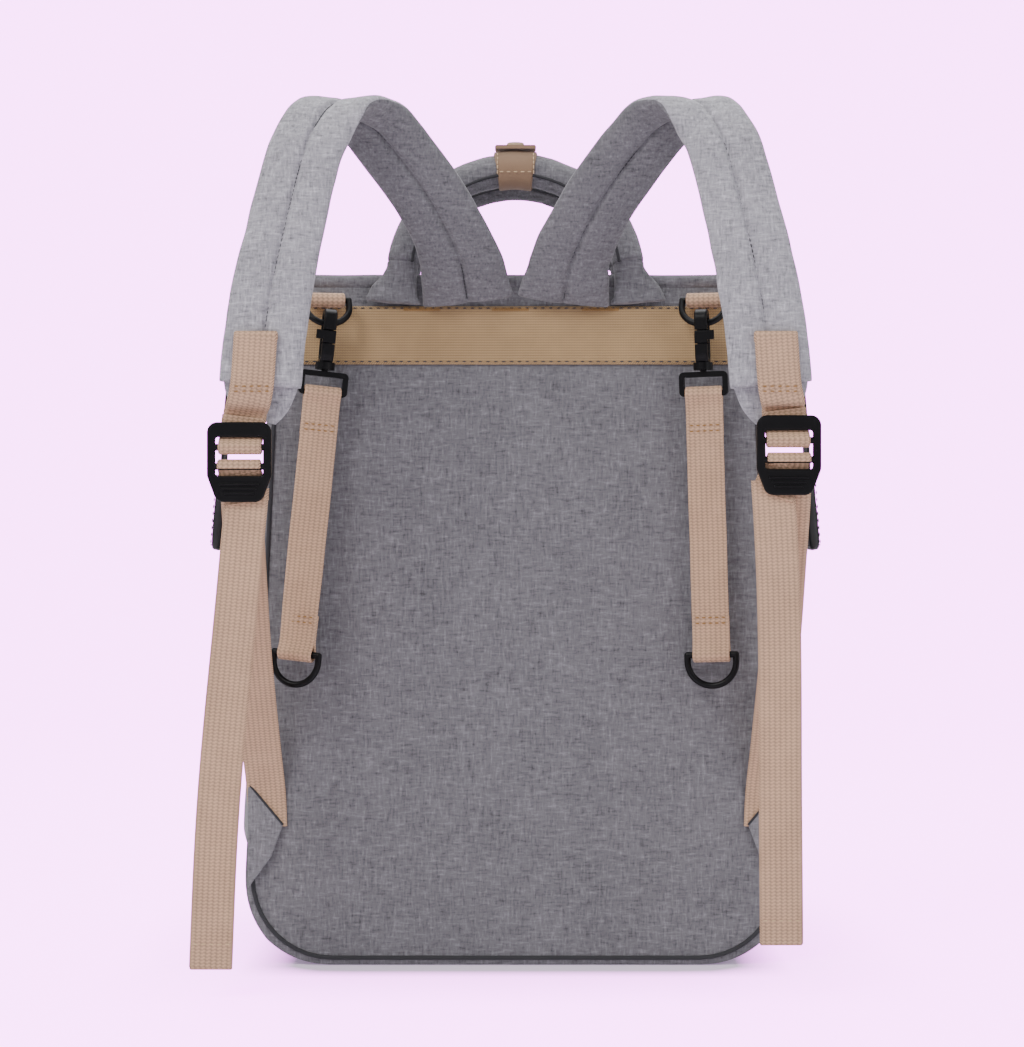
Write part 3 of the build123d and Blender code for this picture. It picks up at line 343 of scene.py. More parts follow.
def plain_canvas(name, tone, pitch=1.1):
    """Coarse plain weave, seen as a small checker of raised yarns."""
    f = Finish(name)
    across, along = f.cloth_place()
    over = (across * (2 * pi / pitch)).sine() * (along * (2 * pi / pitch)).sine()
    yarn = f.noise(700.0, 2.0, 0.6)
    soil = f.noise(45.0, 4.0, 0.6)
    height = over * 0.5 + 0.5
    shade = 0.25 + 0.40 * height + 0.35 * yarn + 0.3 * (soil - 0.5)
    return f.surface(
        f.mix(shade, paint(tone, 0.6), paint(tone, 1.2)), 0.85, height, 0.0004, 0.6, sheen_weight=0.2
    )


def moulded_plastic(name, tone, rough=0.34):
    """Satin moulded plastic with a faint spark-eroded grain and rubbed patches."""
    f = Finish(name)
    grain = f.noise(2600.0, 2.0, 0.6)
    rub = f.noise(70.0, 4.0, 0.6)
    shine = rough + 0.14 * (rub - 0.5) + 0.06 * (grain - 0.5)
    worn = f.mix(f.between(rub, 0.55, 0.8) * 0.5, paint(tone), paint(tone, 2.2))
    return f.surface(worn, shine, grain, 0.00006, 0.35, specular_ior_level=0.16)


def grained_leather(name, tone):
    """Faux leather: fine pebbles with soft creases."""
    f = Finish(name)
    cell = f.node("ShaderNodeTexVoronoi", {"feature": "F1"}, {"Vector": f.place(), "Scale": 900.0})
    crease = f.noise(90.0, 4.0, 0.6)
    height = 1 - cell + 0.6 * crease
    return f.surface(
        f.mix(f.between(crease, 0.35, 0.7), paint(tone), paint(tone, 2.4)),
        0.42 + 0.25 * (crease - 0.5),
        height,
        0.00025,
        0.5,
    )


def zipper_tape(name, tone):
    """Black twill tape with a fine diagonal rib and scuffs."""
    f = Finish(name)
    x, y, z = f.apart()
    twill = ((x + y + z) * (2000 * pi / 1.5)).sine() * 0.5 + 0.5
    lint = f.noise(500.0, 3.0, 0.6)
    return f.surface(
        f.mix(f.between(lint, 0.45, 0.8), paint(tone), paint(tone, 3.0)),
        0.72,
        twill + 0.5 * lint,
        0.00025,
        0.5,
        sheen_weight=0.1,
    )


def plain_woven(name, tone, pitch=0.7, rough=0.8, depth=0.0002):
    """Smooth fine weave for lining, piping, dark rims, elastic and thread."""
    f = Finish(name)
    x, _, z = f.apart()
    x_wave = (x * (2000 * pi / pitch)).sine()
    z_wave = (z * (2000 * pi / pitch)).sine()
    slub = f.noise(160.0, 4.0, 0.6)
    height = (x_wave + z_wave) * 0.25 + 0.5
    return f.surface(
        f.mix(0.35 + 0.4 * height + 0.5 * (slub - 0.5), paint(tone, 0.7), paint(tone, 1.35)),
        rough,
        height,
        depth,
        0.5,
        sheen_weight=0.1,
    )


def closed_foam(name, tone):
    """Foam sheet with small closed cells."""
    f = Finish(name)
    cell = f.node("ShaderNodeTexVoronoi", {"feature": "F1"}, {"Vector": f.place(), "Scale": 600.0})
    return f.surface(f.mix(cell, paint(tone, 0.85), paint(tone)), 0.9, cell, 0.0003, 0.5)


def brushed_metal(name, tone, rough=0.35):
    """Metal with fine brush marks."""
    f = Finish(name)
    marks = f.noise(1.0, 3.0, 0.6, (30, 1500, 1500))
    brushed = f.mix(marks, paint(tone, 0.75), paint(tone, 1.15))
    return f.surface(brushed, rough + 0.2 * (marks - 0.5), marks, 0.00004, 0.3, metallic=1.0)


def painted_metal(name, tone, rough=0.4):
    """Painted metal, rubbed thin in places."""
    f = Finish(name)
    rub = f.noise(220.0, 4.0, 0.6)
    return f.surface(
        f.mix(f.between(rub, 0.5, 0.75), paint(tone), paint(tone, 1.4)),
        rough + 0.2 * (rub - 0.5),
        rub,
        0.00005,
        0.3,
        coat_weight=0.3,
    )


def finish(name):
    """The finish of that name, made the first time that it is asked for."""
    made = bpy.data.materials.get("bag_" + name)
    if made:
        return made
    c = colours()
    makers = {
        "melange": lambda: melange_cloth(name),
        # Lit and shaded copies of the melange for the shoulder straps: the lighter one is painted
        # light, the darker one painted shade
        "strap_painted_light_melange": lambda: melange_cloth(name, 2.35),
        "strap_painted_shade_melange": lambda: melange_cloth(name, 0.95),
        "wedge_melange": lambda: melange_cloth(name, 1.25),
        "webbing": lambda: woven_webbing(name, c.webbing),
        "band": lambda: woven_webbing(name, c.band, 1.7, 1.6, 18.5, 0.3),
        "canvas": lambda: plain_canvas(name, c.canvas),
        "thread": lambda: plain_woven(name, c.thread, 0.5),
        "pale_thread": lambda: plain_woven(name, (0.62, 0.44, 0.26), 0.5),
        "dark_thread": lambda: plain_woven(name, (0.035, 0.035, 0.04), 0.5),
        "black_plastic": lambda: moulded_plastic(name, c.black),
        "leather": lambda: grained_leather(name, c.black),
        "zipper": lambda: zipper_tape(name, c.black),
        "piping": lambda: plain_woven(name, (0.022, 0.022, 0.026), 0.8),
        "lining": lambda: plain_woven(name, c.lining, 0.9, 0.6),
        "elastic": lambda: plain_woven(name, (0.02, 0.02, 0.023), 1.2, 0.7, 0.0004),
        "foam": lambda: closed_foam(name, (0.8, 0.8, 0.76)),
        "board": lambda: moulded_plastic(name, (0.05, 0.05, 0.052), 0.6),
        "steel": lambda: brushed_metal(name, (0.55, 0.55, 0.57)),
        "slider_metal": lambda: painted_metal(name, (0.03, 0.03, 0.032)),
        "snap": lambda: painted_metal(name, (0.55, 0.42, 0.27)),
        "backdrop": lambda: backdrop_paper(name),
    }
    return makers[name]()


def backdrop_paper(name):
    """Matt studio paper that glows a little from within so that it stays even, with a painted shadow
    round the bag's footprint.
    """
    f = Finish(name)
    seen = f.node("ShaderNodeLightPath", out="Is Camera Ray")
    fibre = f.noise(40.0, 2.0, 0.5)
    even = f.mix(fibre, (0.80, 0.74, 0.82, 1), (0.82, 0.76, 0.84, 1))
    across, along, up = (value.size() for value in f.apart())
    # Painted shadow: a dark core and a wider soft band round the bag's footprint, only close to the
    # floor
    painted_shadow_core = f.between(across, 0.17, 0.12) * f.between(along, 0.135, 0.10) * f.between(up, 0.05, 0.01)
    soft = f.between(across, 0.25, 0.10) * f.between(along, 0.22, 0.10) * f.between(up, 0.05, 0.01)
    # The paper's glow, pulled towards the dark painted shadow colour inside these masks
    paper_and_painted_shadow = f.mix(painted_shadow_core + soft * 0.45, paint(colours().floor), (0.03, 0.02, 0.035, 1))
    glow = f.mix(seen, (0.029, 0.027, 0.031, 1), paper_and_painted_shadow)
    return f.surface(even, 0.9, fibre, 0.0001, 0.05, emission_color=glow, emission_strength=PAPER_GLOW)


# ---------------------------------------------------------------- mesh helpers


def lerp(a, b, t):
    return a + (b - a) * t


def waves(point, size, seed=0.0):
    """Slow noise from -1 to 1 at a point."""
    x, y, z = point
    return noise.noise(Vector((x / size + seed, y / size - seed, z / size + 2 * seed)))


def smoothed(stations, steps):
    """A Catmull-Rom run through stations of equal length, steps to each gap."""
    rows = [tuple(s) for s in stations]
    rows = [rows[0], *rows, rows[-1]]
    out = []
    for i in range(1, len(rows) - 2):
        for k in range(steps):
            t = k / steps
            row = []
            for p, q, r, s in zip(*rows[i - 1 : i + 3]):
                square = (2 * p - 5 * q + 4 * r - s) * t**2
                cube = (3 * q - p - 3 * r + s) * t**3
                row.append(0.5 * (2 * q + (r - p) * t + square + cube))
            out.append(tuple(row))
    out.append(rows[-1])
    return out


def frames_on(points, across, width, depth):
    """Frames on a path: across is one direction or one for each point, and so are width and depth."""
    count = len(points)
    frames = []
    for i, point in enumerate(points):
        run = points[min(i + 1, count - 1)] - points[max(i - 1, 0)]
        side = across[i] if isinstance(across, list) else across
        side = (side - run * (side.dot(run) / run.length_squared)).normalized()
        normal = side.cross(run).normalized()
        wide = width[i] if isinstance(width, list) else width
        deep = depth[i] if isinstance(depth, list) else depth
        frames.append((point, side, normal, wide, deep))
    return frames


def sweep(bm, frames, profile):
    """Extrude a closed profile from frame to frame, close both ends and map the skin as cloth."""
    cloth = bm.loops.layers.uv.get("cloth") or bm.loops.layers.uv.new("cloth")
    count = len(profile)
    spots = {}

    def put(ring, placing, run):
        point, across, normal, width, depth = placing
        for vert, (a, n) in zip(ring, profile):
            vert.co = point + across * (a * width) + normal * (n * depth)
            spots[vert] = (a * width, run)

    ring = [bm.verts.new() for _ in profile]
    edges = [bm.edges.new((ring[i], ring[(i + 1) % count])) for i in range(count)]
    run = 0.0
    put(ring, frames[0], run)
    faces = list(bmesh.ops.contextual_create(bm, geom=edges)["faces"])
    for before, placing in zip(frames, frames[1:]):
        run += (placing[0] - before[0]).length
        made = bmesh.ops.extrude_edge_only(bm, edges=edges)["geom"]
        faces += [g for g in made if isinstance(g, bmesh.types.BMFace)]
        fresh = {g for g in made if isinstance(g, bmesh.types.BMVert)}
        ring = [next(e.other_vert(v) for e in v.link_edges if e.other_vert(v) in fresh) for v in ring]
        edges = [bm.edges.get((ring[i], ring[(i + 1) % count])) for i in range(count)]
        put(ring, placing, run)
    faces += bmesh.ops.contextual_create(bm, geom=edges)["faces"]
    for face in faces:
        for loop in face.loops:
            loop[cloth].uv = spots[loop.vert]
    return list(spots)


def round_profile(count=20):
    return [(0.5 * cos(2 * pi * i / count), 0.5 * sin(2 * pi * i / count)) for i in range(count)]


def strip_profile(columns=10, edge=0.045):
    """A flat strip with rounded long edges."""
    places = [-0.5 + edge + (1 - 2 * edge) * k / columns for k in range(columns + 1)]
    top = [(a, 0.5) for a in places]
    low = [(a, -0.5) for a in reversed(places)]
    return [(-0.5, 0.0), *top, (0.5, 0.0), *low]


def pad_profile(groove):
    """A padded strip: full between its sewn edges, with a sewn channel down the middle of each face."""
    half = [0.0, 0.018, 0.04, 0.08, 0.14, 0.22, 0.30, 0.37, 0.43, 0.465, 0.487]
    places = [-a for a in reversed(half[1:])] + half

    def rise(a):
        full = (1 - abs(2 * a) ** 3.4) ** 0.5
        return 0.5 * full * (1 - groove * exp(-((a / 0.03) ** 2)))

    top = [(a, rise(a)) for a in places]
    low = [(a, -rise(a)) for a in reversed(places)]
    return [(-0.5, 0.0), *top, (0.5, 0.0), *low]


def crumple(verts, amount, size, seed=0.0, away=None):
    """Move points in and out along their normals with two sizes of noise."""
    for vert in verts:
        share = away(vert.co) if away else 1.0
        push = waves(vert.co, size, seed) + 0.5 * waves(vert.co, size * 0.45, seed + 3)
        vert.co += vert.normal * (amount * share * push)


def piece(name, bm, finishes, body, stands_for=(), levels=0, sharp=50):
    """Turn a bmesh into a finished object that rides on a body."""
    bmesh.ops.recalc_face_normals(bm, faces=bm.faces)
    mesh = bpy.data.meshes.new(name)
    bm.to_mesh(mesh)
    bm.free()
    for material in finishes:
        mesh.materials.append(finish(material))
    mesh.shade_smooth()
    if not levels:
        mesh.set_sharp_from_angle(angle=radians(sharp))
    made = bpy.data.objects.new(name, mesh)
    bpy.context.scene.collection.objects.link(made)
    if levels:
        rounding = made.modifiers.new("Rounding", "SUBSURF")
        rounding.levels = levels
        rounding.render_levels = levels
    if body:
        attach(made, body)
    if stands_for:
        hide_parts(*stands_for)
    return made


def give_wall(made, thickness):
    """Give a sheet its thickness inwards, with its second finish on the inner side."""
    wall = made.modifiers.new("Wall", "SOLIDIFY")
    wall.thickness = thickness
    wall.offset = -1
    wall.material_offset = 1


def fill_with_air(made, sewn, pressure, cap):
    """Let a piece settle as cloth with air behind it; sewn points stay, and none moves past cap."""
    group = made.vertex_groups.new(name="sewn")
    group.add(sewn, 1.0, "REPLACE")
    modifier = made.modifiers.new("Air", "CLOTH")
    made.modifiers.move(len(made.modifiers) - 1, 0)
    cloth = modifier.settings
    cloth.quality = 7
    cloth.mass = 0.3
    cloth.tension_stiffness = 25
    cloth.compression_stiffness = 12
    cloth.shear_stiffness = 8
    cloth.bending_stiffness = 1.5
    cloth.use_pressure = True
    cloth.uniform_pressure_force = pressure
    cloth.vertex_group_mass = "sewn"
    cloth.effector_weights.gravity = 0
    modifier.collision_settings.use_collision = False
    others = [m for m in made.modifiers if m != modifier]
    for other in others:
        other.show_viewport = False
    scene = bpy.context.scene
    for step in range(1, scene.bag_stage.cloth_frames + 1):
        scene.frame_set(step)
    settled = made.evaluated_get(bpy.context.evaluated_depsgraph_get()).to_mesh()
    for vert, new in zip(made.data.vertices, settled.vertices):
        move = new.co - vert.co
        if move.length > cap:
            move *= cap / move.length
        vert.co += move
    made.modifiers.remove(modifier)
    for other in others:
        other.show_viewport = True
    scene.frame_set(1)


def stitch_row(bm, points, outward, pitch=None):
    """Lay stitches end to end along a path, a little proud of the cloth."""
    size = sizes()
    pitch = pitch or size.stitch * 1.45
    for start, end in zip(points, points[1:]):
        gap = end - start
        count = max(1, round(gap.length / pitch))
        along = gap.normalized()
        across = along.cross(outward).normalized()
        turn = Matrix((along, across, outward.normalized())).transposed().to_4x4()
        shape = Matrix.Diagonal((size.stitch / 2, size.thread * 1.15, size.thread, 1))
        for k in range(count):
            spot = start + gap * ((k + 0.5) / count)
            bmesh.ops.create_icosphere(
                bm, subdivisions=1, radius=1.0, matrix=Matrix.Translation(spot) @ turn @ shape
            )


# ---------------------------------------------------------------- the walls


def half_width(z):
    size = sizes()
    return size.base_half - (size.base_half - size.rim_half) * z / RIM_HEIGHT


def back_y(z):
    return BACK_Y + max(0.0, z - KNEE_Z) * BACK_LEAN


def front_y(z):
    return FRONT_Y - z * FRONT_LEAN


def roof_z(y):
    return HINGE.z + (HINGE.y - y) * tan(ROOF)


def wall_point(u, v, w):
    """A point on the walls from a cube's coordinates: u across, v from back to front, w up."""
    corner = sizes().corner
    depth = (v + 1) / 2
    top_y = lerp(back_y(RIM_Z), HINGE.y, depth)
    top = min(RIM_Z - 1 * MM, roof_z(top_y) - 1.5 * MM)
    z = (w + 1) / 2 * top
    half = half_width(z)
    x = u * half
    dx = (abs(x) - half + corner) / corner
    dz = (corner - z) / corner
    if dx > 0 and dz > 0:
        pull = max(dx, dz) / hypot(dx, dz)
        x = (half - corner + dx * pull * corner) * (1 if x > 0 else -1)
        z = corner - dz * pull * corner
    return Vector((x, lerp(back_y(z), front_y(z), depth), z))


class BAG_OT_walls(bpy.types.Operator):
    """Sew the walls: back, sides, bottom and front as one shell that is open at the mouth"""

    bl_idname = "bag.walls"
    bl_label = "Walls"

    def execute(self, context):
        bm = bmesh.new()
        bmesh.ops.create_cube(bm, size=2.0)
        bmesh.ops.subdivide_edges(bm, edges=bm.edges[:], cuts=43, use_grid_fill=True)
        crease = bm.edges.layers.float.new("crease_edge")
        roof = [f for f in bm.faces if all(v.co.z > ON_FACE for v in f.verts)]
        bmesh.ops.delete(bm, geom=roof, context="FACES")
        bm.verts.index_update()

        def on_seam(co):
            return abs(co.y) > ON_FACE and (abs(co.x) > ON_FACE or co.z < -ON_FACE)

        for edge in bm.edges:
            if all(on_seam(v.co) for v in edge.verts):
                edge[crease] = 0.85
        cubes = [v.co.copy() for v in bm.verts]
        for vert, cube in zip(bm.verts, cubes):
            vert.co = wall_point(*cube)
        bmesh.ops.recalc_face_normals(bm, faces=bm.faces)
        bm.normal_update()
        slack = sizes().slack
        sewn = []
        for vert, cube in zip(bm.verts, cubes):
            high = cube.y < -ON_FACE and vert.co.z > KNEE_Z - 8 * MM
            if on_seam(cube) or abs(cube.z) > ON_FACE or high:
                sewn.append(vert.index)
                continue
            share = 1.0
            if abs(cube.y) > ON_FACE:
                share = min(1.0, 4 * (1 - abs(cube.x)), 4 * (1 - abs(cube.z)))
            vert.co += vert.normal * (slack * share * waves(vert.co, 0.075, 1.7))
        walls = piece(
            "bag_walls",
            bm,
            ["melange", "lining"],
            "bag",
            ("back_panel", "front_panel", "bottom_panel", "gusset_left", "gusset_right"),
            levels=1,
        )
        fill_with_air(walls, sewn, 2.0, sizes().swell)
        give_wall(walls, sizes().wall)
        return {"FINISHED"}


def outline(inset, y_of, top, steps=10):
    """The bag's outline, inset, from the top of the left side down, round the base and up the right."""
    corner = sizes().corner - inset
    points = []
    low = inset
    for k in range(steps * 2 + 1):
        z = lerp(top, low + corner, k / (steps * 2))
        points.append(Vector((-half_width(z) + inset, 0, z)))
    centre = Vector((-half_width(low + corner) + inset + corner, 0, low + corner))
    for k in range(1, steps + 1):
        turn = pi / 2 * k / steps
        points.append(centre + Vector((-cos(turn), 0, -sin(turn))) * corner)
    points += [Vector((-p.x, 0, p.z)) for p in reversed(points)]
    for p in points:
        p.y = y_of(p.z)
    return points


class BAG_OT_piping(bpy.types.Operator):
    """Lay the bound piping round the back and the front of the bag"""

    bl_idname = "bag.piping"
    bl_label = "Piping"

    def execute(self, context):
        bm = bmesh.new()
        radius = sizes().piping
        rings = [
            outline(4.6 * MM, lambda z: back_y(z) - 0.5 * MM, RIM_Z - 6 * MM),
            outline(4.6 * MM, lambda z: front_y(z) + 0.5 * MM, HINGE.z - 6 * MM),
        ]
        for points in rings:
            normals = frames_on(points, Y_AXIS, 2 * radius, 2 * radius)
            sweep(bm, normals, round_profile(10))
        piece("piping_cord", bm, ["piping"], "bag", ("piping",))
        return {"FINISHED"}


class BAG_OT_band(bpy.types.Operator):
    """Sew the wide webbing band across the back, with its edge stitching and bar tacks"""

    bl_idname = "bag.band"
    bl_label = "Back band"

    def execute(self, context):
        low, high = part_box("webbing_band")
        height = (high.z - low.z) / cos(BACK_ANGLE)
        centre_z = (low.z + high.z) / 2
        lean = Vector((0, sin(BACK_ANGLE), cos(BACK_ANGLE)))
        normal = Vector((0, -cos(BACK_ANGLE), sin(BACK_ANGLE)))
        points = []
        for k in range(61):
            x = lerp(low.x + 0.6 * MM, high.x - 0.6 * MM, k / 60)
            ripple = 0.25 * MM * waves((x, 0, 0), 0.03, 5)
            points.append(Vector((x, back_y(centre_z), centre_z)) + normal * (1.3 * MM + ripple))
        bm = bmesh.new()
        sweep(bm, frames_on(points, lean, height, 1.7 * MM), strip_profile(22, 0.02))
        piece("back_band", bm, ["band"], "bag", ("webbing_band",))
        edges = bmesh.new()
        for share, inset in ((-0.5, 1.6 * MM), (0.5, -1.6 * MM)):
            row = [p + lean * (share * height + inset) + normal * 1.0 * MM for p in points]
            stitch_row(edges, row, normal)
        piece("band_edge_stitches", edges, ["dark_thread"], "bag")
        tacks = bmesh.new()
        for x in TACK_PLACES:
            for k in range(22):
                spot = Vector((x + (k - 10.5) * 1.05 * MM, back_y(centre_z), centre_z))
                start = spot + normal * 2.3 * MM + lean * (height / 2 - 3.6 * MM)
                stitch_row(tacks, [start, start + lean * 2.4 * MM + X_AXIS * 0.5 * MM], normal)
        piece("band_tacks", tacks, ["thread"], "bag")
        return {"FINISHED"}


class BAG_OT_flap(bpy.types.Operator):
    """Make the top flap and the rolled hems of the mouth"""

    bl_idname = "bag.flap"
    bl_label = "Flap and hems"

    def execute(self, context):
        bm = bmesh.new()
        bmesh.ops.create_grid(bm, x_segments=44, y_segments=24, size=1.0)
        ridge = middle("front_hem")
        for vert in bm.verts:
            u, v = vert.co.x, (vert.co.y + 1) / 2
            z = lerp(HINGE.z + 2 * MM, ridge.z - 0.5 * MM, v)
            y = lerp(HINGE.y - 2.5 * MM, ridge.y, v)
            bulge = 4.5 * MM * (1 - u * u) * sin(pi * min(1.0, v + 0.03))
            ripple = 1.3 * MM * waves((u * 0.17, v * 0.15, 0), 0.05, 9) * (1 - abs(u) ** 4)
            lift = 1.2 * MM + bulge + ripple
            x = u * (half_width(z) - 1.2 * MM)
            vert.co = Vector((x, y + lift * sin(ROOF), z + lift * cos(ROOF)))
        cloth = ["melange", "lining"]
        flap = piece("top_flap_cloth", bm, cloth, "top_flap", ("flap_panel",), levels=1)
        give_wall(flap, 2.4 * MM)
        flap_faces_up(flap)
        width, run = 2 * half_width(0.38), hypot(ridge.z - HINGE.z, HINGE.y - ridge.y)
        cords = bmesh.new()
        for side in SIDES.values():
            spots = []
            for k in range(25):
                z = lerp(HINGE.z + 2 * MM, ridge.z - 4 * MM, k / 24)
                y = lerp(HINGE.y - 2.5 * MM, ridge.y + 3 * MM, k / 24)
                edge = Vector((side * (half_width(z) - 2.4 * MM), y, z))
                spots.append(edge - Vector((0, sin(ROOF), cos(ROOF))) * 2.2 * MM)
            sweep(cords, frames_on(spots, X_AXIS, 4.2 * MM, 5.8 * MM), round_profile(12))
        piece("top_flap_cords", cords, ["piping"], "top_flap")
        for node, body, seed in (("rear_hem", "bag", 2.0), ("front_hem", "top_flap", 6.0)):
            low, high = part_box(node)
            centre = Vector((0, 0, RIM_Z))
            centre.y = middle("front_hem").y if node == "front_hem" else low.y + 5 * MM
            points, widths = [], []
            for k in range(64):
                t = k / 63
                x = lerp(low.x + 1 * MM, high.x - 1 * MM, t)
                ripple = 0.35 * MM * waves((x, 0, 0), 0.04, seed)
                points.append(Vector((x, centre.y, centre.z + ripple)))
                widths.append(9.6 * MM * (1 + 0.05 * waves((x, 0, 0), 0.02, seed + 4)))
            roll = bmesh.new()
            sweep(roll, frames_on(points, Y_AXIS, widths, widths), round_profile(16))
            piece(node + "_roll", roll, ["melange"], body, (node,))
        return {"FINISHED"}


def flap_faces_up(made):
    """Turn a single sheet's faces so that its outside is upwards."""
    if made.data.polygons[0].normal.z < 0:
        made.data.flip_normals()


# ---------------------------------------------------------------- straps


STRAP_STATIONS = (
    (29.6, -4, 411.5, 58, 8),
    (31.6, 3, 424, 54, 11),
    (34.6, 11, 438, 50, 12.5),
    (44, 24, 458, 46, 13),
    (57, 36, 479, 45, 13),
    (77, 50, 504, 44, 13),
    (89, 59, 514.5, 44, 13),
    (101, 70, 518.5, 44, 13),
    (110, 79, 514.5, 43.5, 13),
    (117, 85, 504, 43.5, 13),
    (123, 90, 489, 44, 13),
    (131, 95, 457, 45, 13),
    (140, 100, 414, 47, 13),
    (145, 103, 381, 48, 12.5),
    (147, 104.6, 358, 48, 11),
    (147.4, 104.8, 353.5, 47, 5),
)
TIP_STATIONS = (
    (147, 102.6, 358, 45, 3.2),
    (149, 100.8, 345, 38, 2.8),
    (152, 98.8, 335, 27, 2.6),
)


def strap_frames(stations, side, steps):
    rows = smoothed(stations, steps)
    points = [Vector((side * r[0], BACK_Y * 1000 - r[1], r[2])) * MM for r in rows]
    return frames_on(points, X_AXIS, [r[3] * MM for r in rows], [r[4] * MM for r in rows])


class BAG_OT_shoulder_straps(bpy.types.Operator):
    """Make the padded shoulder straps with their sewn channels and flat ends"""

    bl_idname = "bag.shoulder_straps"
    bl_label = "Shoulder straps"

    def execute(self, context):
        size = sizes()
        for name, side in SIDES.items():
            body = f"shoulder_strap_{name}"
            bm = bmesh.new()
            frames = strap_frames(STRAP_STATIONS, side, 7)
            verts = sweep(bm, frames, pad_profile(size.groove))
            bm.normal_update()

            def by_bend(co):
                base = exp(-(((co.z - 0.425) / 0.03) ** 2))
                apex = exp(-(((co.z - 0.52) / 0.03) ** 2))
                return 0.35 + 0.9 * base + 0.8 * apex

            crumple(verts, size.crease, 0.02, 3.0 * side, by_bend)
            self.paint_shade_inside(bm, verts, frames)
            # The pad's outer faces take the lighter copy as painted light, and the face on the shoulder
            # takes the darker copy as painted shade
            cloth = ["strap_painted_light_melange", "strap_painted_shade_melange"]
            pad = piece(body + "_pad", bm, cloth, body, (body,), levels=1)
            tip = bmesh.new()
            sweep(tip, strap_frames(TIP_STATIONS, side, 5), strip_profile(8))
            # The flat end also takes the lighter copy of the melange, painted light
            piece(body + "_tip", tip, ["strap_painted_light_melange"], body)
            seams = bmesh.new()
            for face in (1, -1):
                row = [p + n * face * d * 0.5 * (1 - size.groove) for p, _, n, _, d in frames[2:-3]]
                for start, end in zip(row, row[1:]):
                    outward = (end - start).cross(X_AXIS).normalized() * -face
                    stitch_row(seams, [start, end], outward, 3.0 * MM)
            piece(body + "_seams", seams, ["dark_thread"], body)
        return {"FINISHED"}

    def paint_shade_inside(self, bm, verts, frames):
        """Give the face that lies on the shoulder, which faces down and away from the light above, a
        darker copy of the cloth as painted shade.
        """
        count = len(pad_profile(0.0))
        turn = {vert: i % count for i, vert in enumerate(verts)}
        upper = frames[8][2].dot(-Y_AXIS - Z_AXIS) > 0
        for face in bm.faces:
            top = max(turn[vert] for vert in face.verts) <= count // 2
            face.material_index = 1 if top == upper else 0


def ribbon_path(bm, points, across, width, thickness, columns=10):
    """A webbing strip along a path."""
    return sweep(bm, frames_on(points, across, width, thickness), strip_profile(columns, 0.03))


def arc_round(bar, radius, start, end, steps):
    """Points round a bar that runs from side to side, from one angle to the other in degrees."""
    turns = [radians(lerp(start, end, k / steps)) for k in range(steps + 1)]
    return [bar + Vector((0, cos(turn), sin(turn))) * radius for turn in turns]


def loop_path(bar, along, out, radius, tail_near, tail_far, thickness):
    """Round a bar: from the far layer up over it and down the near layer.

    along points away from the bar down the layers, and out points to the near side."""
    half = thickness / 2 + 0.1 * MM
    near = [bar + out * half + along * s for s in tail_near]
    far = [bar - out * half + along * s for s in tail_far]
    arc = []
    for k in range(9):
        turn = radians(lerp(200, -20, k / 8))
        arc.append(bar + out * (radius * cos(turn)) - along * (radius * sin(turn)))
    return [*far, *arc, *near]


class BAG_OT_strap_webbing(bpy.types.Operator):
    """Sew the webbing on the strap ends and lead it round the ladder locks"""

    bl_idname = "bag.strap_webbing"
    bl_label = "Strap-end webbing"

    def execute(self, context):
        thick = sizes().webbing
        for name, side in SIDES.items():
            body = f"shoulder_strap_{name}"
            bar = joint_place(f"ladder_lock_{name}_tilt")
            top = Vector((side * 149.3, -95 - 110.4, 381)) * MM
            outer = [
                top + Vector((0, 1.5, -3)) * MM,
                top + Vector((0, 0.6, 1.5)) * MM,
                top + Vector((0, -1.2, 2.4)) * MM,
                top + Vector((0, -2.4, 0)) * MM,
                top + Vector((side * 0.6, -1.6, -8)) * MM,
                Vector((side * 151.4, -95 - 111.2, 354)) * MM,
                Vector((side * 153.8, -95 - 108, 343)) * MM,
                bar + Vector((-side * 2.6, 7.3, 20)) * MM,
                bar + Vector((-side * 1.6, 6.9, 10)) * MM,
            ]
            arc = arc_round(bar - X_AXIS * side * 0.5 * MM, 3.35 * MM, 60, -205, 10)
            back = [bar + Vector((-side * 1.0, 4.6, 9)) * MM, bar + Vector((-side * 2.0, 5.2, 18)) * MM]
            path = [Vector(p) for p in smoothed([*outer, *arc, *back], 4)]
            bm = bmesh.new()
            ribbon_path(bm, path, X_AXIS, WEBBING_WIDTH, thick)
            node = f"strap_webbing_{name}"
            piece(f"{node}_strip", bm, ["webbing"], body, (node,))
            rows = bmesh.new()
            for z in (352.5 * MM, 349.6 * MM):
                centre = Vector((side * 151.6, -95 - 112.1, 0)) * MM
                centre.z = z
                ends = [centre - X_AXIS * 11 * MM, centre + X_AXIS * 11 * MM]
                stitch_row(rows, ends, -Y_AXIS)
            piece(f"strap_webbing_{name}_stitches", rows, ["thread"], body)
        return {"FINISHED"}


